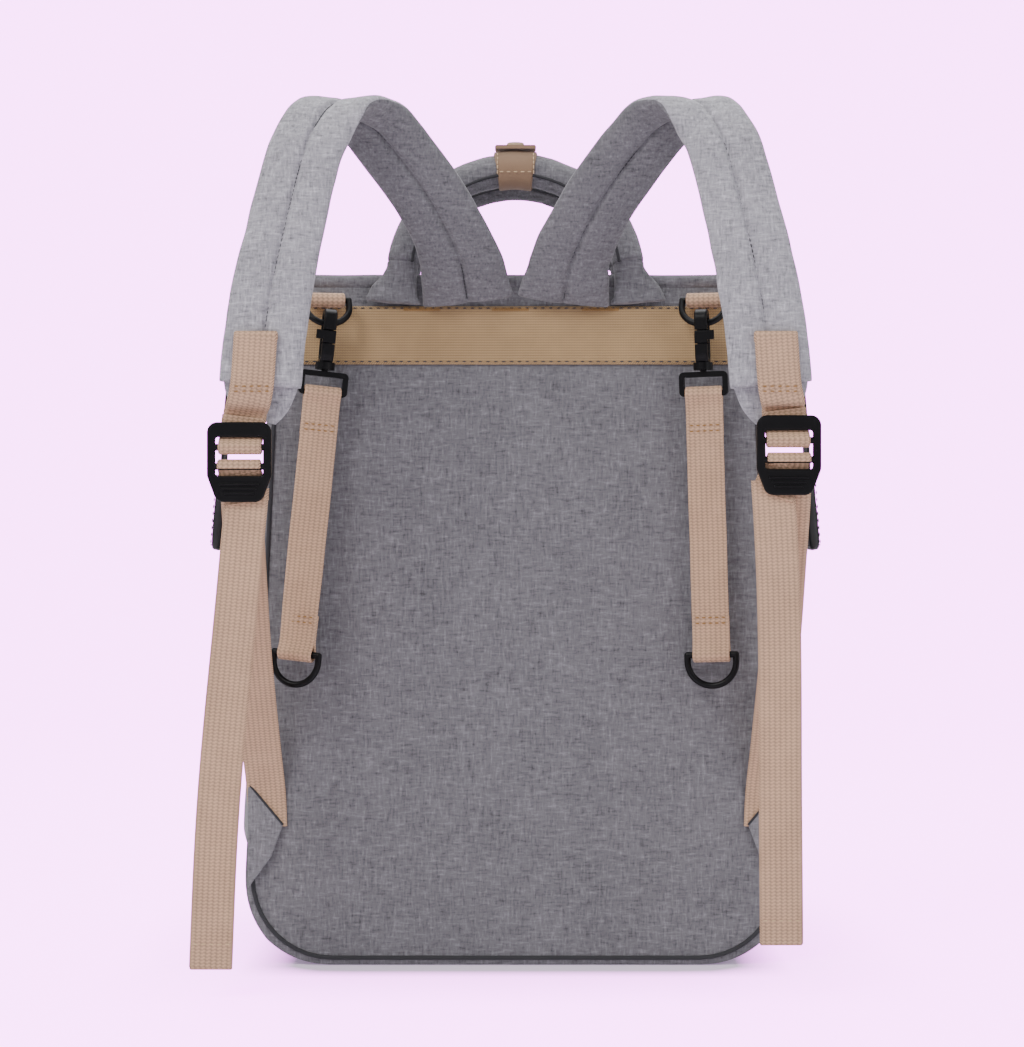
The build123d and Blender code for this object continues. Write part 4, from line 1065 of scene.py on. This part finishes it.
class BAG_OT_adjusters(bpy.types.Operator):
    """Lead the adjuster webbing round the ladder locks and down to its anchors"""

    bl_idname = "bag.adjusters"
    bl_label = "Adjusters"

    def execute(self, context):
        thick = sizes().webbing
        for name, side in SIDES.items():
            lock_low, lock_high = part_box(f"ladder_lock_{name}")
            lock = (lock_low + lock_high) / 2
            bar = Vector((lock.x, lock.y, joint_place(f"ladder_lock_{name}_tilt").z - 11 * MM))
            roll = bmesh.new()
            arc = arc_round(bar, 3.3 * MM, -60, 200, 12)
            shift = Vector((joint_place(f"webbing_tail_{name}_swing").x - lock.x, 0, 0))
            under = [
                bar + shift + Vector((0, 2.2, -21)) * MM,
                bar + shift * 0.6 + Vector((0, 5.0, -12)) * MM,
            ]
            wound = [Vector(p) for p in smoothed([*under, *arc], 2)]
            ribbon_path(roll, wound, X_AXIS, WEBBING_WIDTH, thick)
            lock_body = f"ladder_lock_{name}"
            piece(f"adjuster_roll_{name}", roll, ["webbing"], lock_body)
            ribs = bmesh.new()
            for k in range(3):
                spot = Vector((lock.x, lock_low.y - 0.1 * MM, lock_low.z + (5.0 + 2.6 * k) * MM))
                turn = Matrix.Rotation(pi / 2, 4, "Y")
                bmesh.ops.create_cone(
                    ribs,
                    cap_ends=True,
                    segments=12,
                    radius1=0.7 * MM,
                    radius2=0.7 * MM,
                    depth=(17 + 3 * k) * MM,
                    matrix=Matrix.Translation(spot) @ turn,
                )
            piece(f"lock_ribs_{name}", ribs, ["black_plastic"], lock_body)
            self.tail(name, side, thick)
            self.load(name, side, thick)
        return {"FINISHED"}

    def tail(self, name, side, thick):
        body = f"webbing_tail_{name}"
        low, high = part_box(body)
        start = joint_place(f"webbing_tail_{name}_swing")
        end_x = (low.x if side < 0 else high.x) - side * 12.6 * MM
        y = (low.y + high.y) / 2
        points = []
        for k in range(41):
            t = k / 40
            x = lerp(start.x, end_x, t) + side * 2.2 * MM * sin(pi * t) + 0.6 * MM * sin(7 * t)
            sway = 1.5 * MM * sin(pi * t) * sin(3.3 * t + 0.6) + 2.4 * MM * exp(-((t / 0.08) ** 2))
            points.append(Vector((x, y + sway, lerp(start.z + 10 * MM, low.z, t))))
        bm = bmesh.new()
        ribbon_path(bm, points, X_AXIS, WEBBING_WIDTH, thick)
        turned = [p + Vector((0, 1.75 * MM, 0)) for p in points[-3:]]
        fold = [points[-1] + Vector((0, 0.9, -0.5)) * MM, *reversed(turned)]
        ribbon_path(bm, fold, X_AXIS, 24.6 * MM, thick)
        piece(f"adjuster_tail_{name}", bm, ["webbing"], body, (body,))
        rows = bmesh.new()
        seam = points[-3] + Vector((0, -0.9, 0)) * MM
        stitch_row(rows, [seam - X_AXIS * 11.5 * MM, seam + X_AXIS * 11.5 * MM], -Y_AXIS)
        piece(f"adjuster_tail_{name}_stitches", rows, ["pale_thread"], body)

    def load(self, name, side, thick):
        node = f"load_webbing_{name}"
        low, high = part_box(node)
        out = middle(node).x
        stations = [
            (out - side * 5 * MM, -98 * MM, 86 * MM),
            (out - side * 4 * MM, -98.5 * MM, 108 * MM),
            (out - side * 2 * MM, -112 * MM, 140 * MM),
            (out, -146 * MM, 198 * MM),
            (out, -180 * MM, 254 * MM),
            (out, low.y + 1 * MM, high.z),
            (out, low.y - 2.4 * MM, high.z + 8 * MM),
            (out, low.y - 2.8 * MM, high.z + 15 * MM),
        ]
        path = [Vector(p) for p in smoothed(stations, 8)]
        bm = bmesh.new()
        ribbon_path(bm, path, X_AXIS, 24 * MM, thick)
        made = piece(f"load_strip_{name}", bm, ["webbing"], None, ())
        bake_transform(made)
        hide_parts(node)


class BAG_OT_wedges(bpy.types.Operator):
    """Fold the fabric triangles that anchor the adjuster webbing"""

    bl_idname = "bag.wedges"
    bl_label = "Anchor triangles"

    def execute(self, context):
        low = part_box("anchor_wedges")[0]
        bm = bmesh.new()
        edge = bmesh.new()
        for side in SIDES.values():
            outer = side * 165.5 * MM
            corners = [
                Vector((outer, 0, 113 * MM)),
                Vector((side * 143.8 * MM, 0, 87.4 * MM)),
                Vector((side * 151.5 * MM, 0, 67 * MM)),
                Vector((outer, 0, 48 * MM)),
            ]
            face_y = low.y + 0.6 * MM
            verts = []
            for corner in corners:
                corner.y = face_y
                verts.append(bm.verts.new(corner))
            face = bm.faces.new(verts)
            made = bmesh.ops.extrude_face_region(bm, geom=[face])["geom"]
            moved = [g for g in made if isinstance(g, bmesh.types.BMVert)]
            bmesh.ops.translate(bm, verts=moved, vec=(0, 3.2 * MM, 0))
            top = [corners[0] + Vector((0, 0.8 * MM, 0.4 * MM)), corners[1] + Vector((0, 0.8 * MM, 0))]
            bead = [top[0].lerp(top[1], k / 8) for k in range(9)]
            sweep(edge, frames_on(bead, Y_AXIS, 2.2 * MM, 1.6 * MM), round_profile(8))
        bmesh.ops.bevel(
            bm, geom=bm.edges[:], offset=0.7 * MM, segments=2, profile=0.5, affect="EDGES", material=-1
        )
        piece("anchor_triangles", bm, ["wedge_melange"], "bag", ("anchor_wedges",))
        piece("anchor_edges", edge, ["piping"], "bag")
        return {"FINISHED"}


class BAG_OT_stroller_straps(bpy.types.Operator):
    """Sew the stroller straps, their upper tabs and the folds round every ring"""

    bl_idname = "bag.stroller_straps"
    bl_label = "Stroller straps"

    def execute(self, context):
        thick = 1.7 * MM
        for name in SIDES:
            top = joint_place(f"stroller_strap_{name}_swing")
            low = joint_place(f"lower_ring_{name}_swing")
            across_top = -joint_axis(f"stroller_strap_{name}_swing")
            across_low = -joint_axis(f"lower_ring_{name}_swing")
            down = (low - top).normalized()
            out = down.cross(across_top).normalized()
            if out.y > 0:
                out = -out
            out_low = down.cross(across_low).normalized()
            if out_low.y > 0:
                out_low = -out_low
            head = loop_path(top, down, out, 3.7 * MM, [8 * MM, 26 * MM], [26 * MM, 8 * MM], thick)
            foot = loop_path(low, -down, out_low, 3.7 * MM, [30 * MM, 9 * MM], [9 * MM, 24 * MM], thick)
            foot = [*foot[-2:], *reversed(foot[2:-2]), *foot[:2]]
            run = [head[-1].lerp(foot[0], t) for t in (0.2, 0.4, 0.6, 0.8)]
            for k, point in enumerate(run):
                point += out * (0.8 * MM * sin(2.2 * k))
            rows = [tuple(p) for p in [*head, *run, *foot]]
            path = [Vector(p) for p in smoothed(rows, 3)]
            share = [min(1.0, max(0.0, (top - p).dot(-down) / (low - top).length)) for p in path]
            across = [across_top.lerp(across_low, t**2) for t in share]
            bm = bmesh.new()
            ribbon_path(bm, path, across, 22.8 * MM, thick)
            body = f"stroller_strap_{name}"
            piece(f"stroller_webbing_{name}", bm, ["webbing"], body, (body,))
            seams = bmesh.new()
            for base, way, a, o in ((top, down, across_top, out), (low, -down, across_low, out_low)):
                for s in (19.5, 23.0):
                    spot = base + way * s * MM + o * (thick + 0.25 * MM)
                    stitch_row(seams, [spot - a * 10 * MM, spot + a * 10 * MM], o)
            piece(f"stroller_stitches_{name}", seams, ["thread"], body)
        self.tabs(thick)
        return {"FINISHED"}

    def tabs(self, thick):
        bm = bmesh.new()
        for name in SIDES:
            bar = joint_place(f"upper_ring_{name}_swing")
            across = -joint_axis(f"upper_ring_{name}_swing")
            inward = Z_AXIS.cross(across).normalized()
            rise = Z_AXIS * 1.5 * MM
            near, far = [7 * MM, 16 * MM], [16 * MM, 7 * MM]
            path = loop_path(bar, inward, -Z_AXIS, 3.6 * MM, near, far, thick)
            ends = [p + rise * 0.8 for p in (*path[:2], *path[-2:])]
            path = [*ends[:2], *path[2:-2], *ends[2:]]
            ribbon_path(bm, [Vector(p) for p in smoothed(path, 3)], across, 22 * MM, thick)
        piece("ring_tab_loops", bm, ["webbing"], "bag", ("ring_tabs",))


# ---------------------------------------------------------------- handles


def handle_frame(name):
    """Centre of a handle's bow circle and its up direction, from its hinge."""
    hinge = joint_place(f"{name}_handle_fold")
    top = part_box(f"{name}_handle")[1].z
    lean = BACK_ANGLE if name == "rear" else FRONT_HANDLE_ANGLE
    up = Vector((0, sin(lean), cos(lean)))
    foot = hinge - up * HANDLE_FOOT
    crown = (top - 10.5 * MM - foot.z) / cos(lean)
    return foot, up, crown


def bow_arc(centre, up, start, end, steps):
    """Points along a handle's bow, from one angle to the other."""
    turns = [lerp(start, end, k / steps) for k in range(steps + 1)]
    return [centre + (X_AXIS * cos(turn) + up * sin(turn)) * HANDLE_RADIUS for turn in turns]


class BAG_OT_handles(bpy.types.Operator):
    """Make the two padded carry handles and their flared feet"""

    bl_idname = "bag.handles"
    bl_label = "Carry handles"

    def execute(self, context):
        for name, owner in (("rear", "bag"), ("front", "top_flap")):
            foot, up, crown = handle_frame(name)
            centre = foot + up * (crown - HANDLE_RADIUS)
            start = atan2((HANDLE_FOOT - (crown - HANDLE_RADIUS)) - 1 * MM, HANDLE_RADIUS)
            points = bow_arc(centre, up, start, pi - start, 72)
            normal = X_AXIS.cross(up)
            bm = bmesh.new()
            verts = sweep(bm, frames_on(points, normal, 21 * MM, 21 * MM), self.sewn_round())
            bm.normal_update()

            def by_wrap(co):
                return 0.45 + 0.9 * exp(-(((abs(co.x) - 0.02) / 0.014) ** 2))

            crumple(verts, 0.9 * MM, 0.011, 12.0 if name == "rear" else 17.0, by_wrap)
            body = f"{name}_handle"
            bow = piece(f"{body}_bow", bm, ["melange"], body, (body,), levels=1)
            # Dark cords along the inner side of the bow: on the face towards the bag's back for the
            # rear handle, and on both faces of the front one
            edges = bmesh.new()
            for face in (-1, 1) if name == "front" else (1,):
                beside = normal * face * 8.6 * MM
                rim = [p + beside - (p - centre).normalized() * 6.4 * MM for p in points]
                sweep(edges, frames_on(rim, normal, 1.9 * MM, 1.9 * MM), round_profile(8))
            piece(f"{body}_dark_rim", edges, ["piping"], body)
            feet = bmesh.new()
            for side in SIDES.values():
                rows = (
                    (76.25, -1, 35.5, 4.2),
                    (75.5, 5, 31, 5.0),
                    (73, 13, 23.5, 8.0),
                    (71.2, 20, 19.5, 13),
                    (70.6, 25.2, 19.5, 16.5),
                )
                places = smoothed(rows, 4)
                spots = [foot + X_AXIS * side * r[0] * MM + up * r[1] * MM for r in places]
                widths, depths = [r[2] * MM for r in places], [r[3] * MM for r in places]
                sweep(feet, frames_on(spots, X_AXIS, widths, depths), pad_profile(0.0))
            feet.normal_update()
            crumple(feet.verts, 0.6 * MM, 0.012, 21.0)
            node = f"{body}_feet"
            piece(f"{body}_flares", feet, ["melange"], owner, (node,), levels=1)
        return {"FINISHED"}

    def sewn_round(self):
        """A round section with a shallow seam on its inner side."""
        ring = []
        for i in range(22):
            turn = 2 * pi * i / 22
            away = abs(turn - 1.5 * pi)
            dip = 1 - 0.10 * exp(-((min(away, 2 * pi - away) / 0.25) ** 2))
            ring.append((0.5 * cos(turn) * dip, 0.5 * sin(turn) * dip))
        return ring


class BAG_OT_wrap(bpy.types.Operator):
    """Close the canvas wrap round the rear handle, with its tab"""

    bl_idname = "bag.wrap"
    bl_label = "Canvas wrap"

    def execute(self, context):
        foot, up, crown = handle_frame("rear")
        centre = foot + up * (crown - HANDLE_RADIUS)
        normal = X_AXIS.cross(up)
        half = atan2(13 * MM, HANDLE_RADIUS)
        points = bow_arc(centre, up, pi / 2 - half, pi / 2 + half, 12)
        bm = bmesh.new()
        skin = bm.loops.layers.uv.new("cloth")
        girth = 24.8 * MM
        verts = sweep(bm, frames_on(points, normal, girth, girth), round_profile(32))
        bm.normal_update()
        crumple(verts, 0.35 * MM, 0.010, 31.0)
        for face in bm.faces:
            for loop in face.loops:
                around = loop.vert.co - foot - up * crown
                angle = atan2(around.dot(up), around.dot(normal))
                loop[skin].uv = (loop.vert.co.x, angle * girth / 2)
        piece("wrap_sleeve", bm, ["canvas"], "rear_handle", ("wrap",), levels=1)
        seams = bmesh.new()
        back = -normal if normal.y > 0 else normal
        for inset in (11.3, -11.3):
            start = foot + up * (crown + 7.5 * MM) + back * 10.6 * MM + X_AXIS * inset * MM
            end = foot + up * (crown - 7.5 * MM) + back * 10.6 * MM + X_AXIS * inset * MM
            rows = [start.lerp(end, k / 5) + back * 2.1 * MM * sin(pi * k / 5) for k in range(6)]
            stitch_row(seams, rows, back)
        across = foot + up * (crown - 6.0 * MM) + back * 11.6 * MM
        stitch_row(seams, [across - X_AXIS * 11 * MM, across + X_AXIS * 11 * MM], back)
        piece("wrap_stitches", seams, ["pale_thread"], "rear_handle")
        tab_low, tab_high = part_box("wrap_tab")
        tab = bmesh.new()
        level = (tab_low.z + tab_high.z) / 2
        path = []
        for k in range(9):
            droop = 0.2 * MM * (k / 4 - 1) ** 4
            path.append(Vector((0, lerp(tab_low.y, tab_high.y, k / 8), level - droop)))
        ribbon_path(tab, path, X_AXIS, 26 * MM, 2.2 * MM)
        piece("wrap_tab_strip", tab, ["canvas"], "wrap_tab", ("wrap_tab",))
        return {"FINISHED"}


# ---------------------------------------------------------------- zippers and pockets


class BAG_OT_zipper_tails(bpy.types.Operator):
    """Hang the drooping zipper ends with their leather tabs"""

    bl_idname = "bag.zipper_tails"
    bl_label = "Zipper ends"

    def execute(self, context):
        for name, side in SIDES.items():
            body = f"zipper_tail_{name}"
            hinge = joint_place(f"{body}_swing")
            down = Vector((side * sin(TAIL_ANGLE), 0, -cos(TAIL_ANGLE)))
            aside = Vector((side * cos(TAIL_ANGLE), 0, sin(TAIL_ANGLE)))
            points = []
            for k in range(25):
                t = k / 24
                points.append(hinge + down * (0.7 + 98 * t) * MM + aside * (1.2 * MM * sin(pi * t)))
            bm = bmesh.new()
            sweep(bm, frames_on(points, Y_AXIS, 26 * MM, 1.5 * MM), strip_profile(10))
            piece(f"zipper_end_{name}", bm, ["zipper"], body, (body,))
            spots, depths = [], []
            for k in range(15):
                t = k / 14
                swell = 1 - 0.35 * (2 * t - 1) ** 6
                spots.append(hinge + down * (84.7 + 51 * t) * MM)
                depths.append((6.2 + 1.3 * t) * MM * swell)
            centre = spots[7]
            tab = bmesh.new()
            frames = frames_on(spots, Y_AXIS, 30 * MM, depths)
            verts = sweep(tab, frames, strip_profile(10, 0.08))
            tab.normal_update()
            crumple(verts, 0.35 * MM, 0.012, 41.0 * side)
            node = f"tail_tab_{name}"
            piece(f"leather_tab_{name}", tab, ["leather"], body, (node,), levels=1)
            seam = bmesh.new()
            for face in (-1, 1):
                ring = [(-12.5, -22), (12.5, -22), (12.5, 22), (-12.5, 22), (-12.5, -22)]
                skin = centre + aside * (face * 3.6 * MM)
                row = [skin + Y_AXIS * a * MM + down * b * MM for a, b in ring]
                stitch_row(seam, row, aside * face)
            piece(f"leather_tab_{name}_stitches", seam, ["dark_thread"], body)
        return {"FINISHED"}


class BAG_OT_front_pocket(bpy.types.Operator):
    """Puff out the front pocket round its zipper"""

    bl_idname = "bag.front_pocket"
    bl_label = "Front pocket"

    def execute(self, context):
        width, height, depth, low = 236 * MM, 218 * MM, 33 * MM, 22 * MM
        up = Vector((0, -sin(FRONT_ANGLE), cos(FRONT_ANGLE)))
        out = Vector((0, cos(FRONT_ANGLE), sin(FRONT_ANGLE)))
        base = Vector((0, FRONT_Y, 0))
        zip_v = low + height - 30 * MM
        bm = bmesh.new()
        bmesh.ops.create_grid(bm, x_segments=60, y_segments=64, size=1.0)
        spots = {}
        corner = 26 * MM
        for vert in bm.verts:
            a, b = vert.co.x, vert.co.y
            across = a * width / 2
            rise = low + height / 2 + b * height / 2
            rim = max(abs(a), abs(b))
            dx, dz = abs(across) - width / 2 + corner, abs(b) * height / 2 - height / 2 + corner
            if dx > 0 and dz > 0:
                pull = max(dx, dz) / hypot(dx, dz)
                across = (width / 2 - corner + dx * pull) * (1 if a > 0 else -1)
                rise = low + height / 2 + (height / 2 - corner + dz * pull) * (1 if b > 0 else -1)
            inset = (1 - rim) * height / 2
            lift = depth * (1 - (1 - min(1.0, inset / (13 * MM))) ** 2.6) ** (1 / 2.6)
            lift += 3.0 * MM * (1 - a * a) * (1 - b * b)
            lift += 1.0 * MM * waves((across, rise, 0), 0.045, 51) * min(1.0, inset / (20 * MM))
            near = abs(rise - zip_v)
            if abs(across) < 103 * MM and near < 14 * MM:
                lift = min(lift, depth + 0.6 * MM - 1.2 * MM * exp(-((near / (6 * MM)) ** 2)))
            spots[vert] = (across, rise)
            vert.co = base + X_AXIS * -across + up * rise + out * lift

        def over_zipper(vert):
            across, rise = spots[vert]
            return abs(across) < 102 * MM and abs(rise - zip_v) < 8 * MM

        slot_faces = [f for f in bm.faces if all(over_zipper(v) for v in f.verts)]
        bmesh.ops.delete(bm, geom=slot_faces, context="FACES")
        finishes = ["melange", "lining"]
        pocket = piece(
            "front_pocket_cloth", bm, finishes, "bag", ("front_pocket",), levels=1
        )
        if sum(p.normal.y for p in pocket.data.polygons) < 0:
            pocket.data.flip_normals()
        give_wall(pocket, 2 * MM)
        return {"FINISHED"}


class BAG_OT_side_pockets(bpy.types.Operator):
    """Gather the side pockets under their elastics"""

    bl_idname = "bag.side_pockets"
    bl_label = "Side pockets"

    def execute(self, context):
        low, top, half = 62 * MM, 190 * MM, 66 * MM
        bm = bmesh.new()
        bands = bmesh.new()
        for side in SIDES.values():
            made = bmesh.ops.create_grid(bm, x_segments=56, y_segments=36, size=1.0)["verts"]
            for vert in made:
                a, b = vert.co.x, (vert.co.y + 1) / 2
                z = lerp(low, top - 9 * MM, b)
                arch = max(0.0, 1 - a * a) ** 0.7
                foot = min(1.0, b / 0.12) ** 0.5
                gather = 0.9 * MM * b * b * sin(a * 46) * (1 - a**4)
                ripple = 0.8 * MM * waves((a * half, 0, z), 0.03, 61)
                bulge = 10.5 * MM * arch * foot + gather + ripple * arch
                vert.co = Vector((side * (half_width(z) + 0.5 * MM + bulge), a * half, z))
            path = []
            for k in range(65):
                a = lerp(-1, 1, k / 64)
                z = top - 5.2 * MM
                arch = max(0.0, 1 - a * a) ** 0.7
                bulge = 10.2 * MM * arch + 0.55 * MM * sin(a * 46) * (1 - a**4)
                path.append(Vector((side * (half_width(z) + 0.8 * MM + bulge), a * half, z)))
            sweep(bands, frames_on(path, Z_AXIS, 10 * MM, 2.2 * MM), strip_profile(8))
        finishes = ["melange", "lining"]
        cloth = piece(
            "side_pocket_cloth", bm, finishes, "bag", ("side_pockets",), levels=1
        )
        for polygon in cloth.data.polygons:
            if polygon.normal.x * polygon.center.x < 0:
                polygon.flip()
        give_wall(cloth, 1.6 * MM)
        piece("side_pocket_bands", bands, ["elastic"], "bag", ("side_pocket_elastics",))
        return {"FINISHED"}


class BAG_OT_hardware(bpy.types.Operator):
    """Give every part that keeps its shape its finish"""

    bl_idname = "bag.hardware"
    bl_label = "Hardware finishes"

    def execute(self, context):
        wear = {
            "foam": ["back_foam"],
            "board": ["base_board"],
            "lining": ["lining"],
            "steel": ["rear_rim_stay", "front_rim_stay"],
            "zipper": ["rear_zipper_tape", "front_zipper_tape", "pocket_zipper"],
            "slider_metal": ["main_slider", "pocket_slider"],
            "leather": ["main_pull", "pocket_pull"],
            "snap": ["wrap_snap"],
            "black_plastic": [f"{part}_{side}" for side in SIDES for part in PLASTIC_PARTS],
        }
        for material, nodes in wear.items():
            for node in nodes:
                for slot in frame["nodes"][node].material_slots:
                    slot.material = finish(material)
        return {"FINISHED"}


# ---------------------------------------------------------------- stage


class BAG_OT_stage(bpy.types.Operator):
    """Set up the floor, the soft lights and the camera"""

    bl_idname = "bag.stage"
    bl_label = "Stage"

    def execute(self, context):
        stage = context.scene.bag_stage
        bm = bmesh.new()
        verts = [bm.verts.new((-6, -6, 0)), bm.verts.new((6, -6, 0))]
        edges = [bm.edges.new(verts)]
        turns = [pi / 2 * k / 12 for k in range(13)]
        run = [(1.6 + 0.9 * sin(t), 0.9 - 0.9 * cos(t)) for t in turns]
        for y, z in [*run, (2.5, 6.0)]:
            made = bmesh.ops.extrude_edge_only(bm, edges=edges)["geom"]
            for vert in (g for g in made if isinstance(g, bmesh.types.BMVert)):
                vert.co.y, vert.co.z = y, z
            fresh = {g for g in made if isinstance(g, bmesh.types.BMVert)}
            edges = [g for g in made if isinstance(g, bmesh.types.BMEdge) and fresh.issuperset(g.verts)]
        floor = piece("studio_floor", bm, ["backdrop"], None)
        lamps = (
            ("key", (-1.3, -1.7, 2.1), (0, 0, 0.25), 1.5, stage.key, (1, 0.985, 0.97)),
            ("fill", (1.7, -1.5, 1.3), (0, 0, 0.25), 1.6, stage.fill, (0.97, 0.98, 1)),
            ("top", (0.0, 0.5, 2.2), (0, 0, 0.2), 1.6, stage.key * 0.7, (1, 1, 1)),
        )
        for name, place, aim, size, watts, tint in lamps:
            light = bpy.data.lights.new(name, "AREA")
            light.shape = "DISK"
            light.size = size
            light.energy = watts
            light.color = tint
            lamp = bpy.data.objects.new(name, light)
            lamp.location = place
            lamp.rotation_euler = (Vector(aim) - Vector(place)).to_track_quat("-Z", "Y").to_euler()
            context.scene.collection.objects.link(lamp)
        world = bpy.data.worlds.new("studio")
        world.use_nodes = True
        sky = world.node_tree.nodes["Background"]
        seen = world.node_tree.nodes.new("ShaderNodeLightPath")
        tint = world.node_tree.nodes.new("ShaderNodeMix")
        tint.data_type = "RGBA"
        tint.inputs[6].default_value = ROOM_LIGHT
        tint.inputs[7].default_value = paint(colours().floor, PAPER_GLOW)
        world.node_tree.links.new(seen.outputs["Is Camera Ray"], tint.inputs[0])
        world.node_tree.links.new(tint.outputs[2], sky.inputs["Color"])
        context.scene.world = world
        lens = bpy.data.cameras.new("camera")
        lens.lens = stage.lens
        lens.sensor_width = 36
        camera = bpy.data.objects.new("camera", lens)
        camera.location = (stage.aside, BACK_Y - stage.distance, stage.height)
        camera.rotation_euler = (pi / 2, 0, 0)
        context.scene.collection.objects.link(camera)
        context.scene.camera = camera
        return {"FINISHED"}


class BAG_PT_panel(bpy.types.Panel):
    """Lists the settings and the steps of the bag"""

    bl_idname = "BAG_PT_panel"
    bl_label = "Diaper Backpack"
    bl_space_type = "VIEW_3D"
    bl_region_type = "UI"
    bl_category = "Bag"

    def draw(self, context):
        for group in (context.scene.bag_sizes, context.scene.bag_colours, context.scene.bag_stage):
            for key in group.bl_rna.properties.keys():
                if key not in ("rna_type", "name"):
                    self.layout.prop(group, key)
        for step in STEPS:
            self.layout.operator(step.bl_idname)


STEPS = (
    BAG_OT_stage,
    BAG_OT_walls,
    BAG_OT_piping,
    BAG_OT_band,
    BAG_OT_flap,
    BAG_OT_shoulder_straps,
    BAG_OT_strap_webbing,
    BAG_OT_adjusters,
    BAG_OT_wedges,
    BAG_OT_stroller_straps,
    BAG_OT_handles,
    BAG_OT_wrap,
    BAG_OT_zipper_tails,
    BAG_OT_front_pocket,
    BAG_OT_side_pockets,
    BAG_OT_hardware,
)
CLASSES = (BagSizes, BagColours, BagStage, *STEPS, BAG_PT_panel)


def register():
    for cls in CLASSES:
        bpy.utils.register_class(cls)
    bpy.types.Scene.bag_sizes = PointerProperty(type=BagSizes)
    bpy.types.Scene.bag_colours = PointerProperty(type=BagColours)
    bpy.types.Scene.bag_stage = PointerProperty(type=BagStage)


def unregister():
    del bpy.types.Scene.bag_stage
    del bpy.types.Scene.bag_colours
    del bpy.types.Scene.bag_sizes
    for cls in reversed(CLASSES):
        bpy.utils.unregister_class(cls)


def main():
    register()
    for step in STEPS:
        getattr(bpy.ops.bag, step.bl_idname.split(".")[1])()


if __name__ == "__main__":
    main()
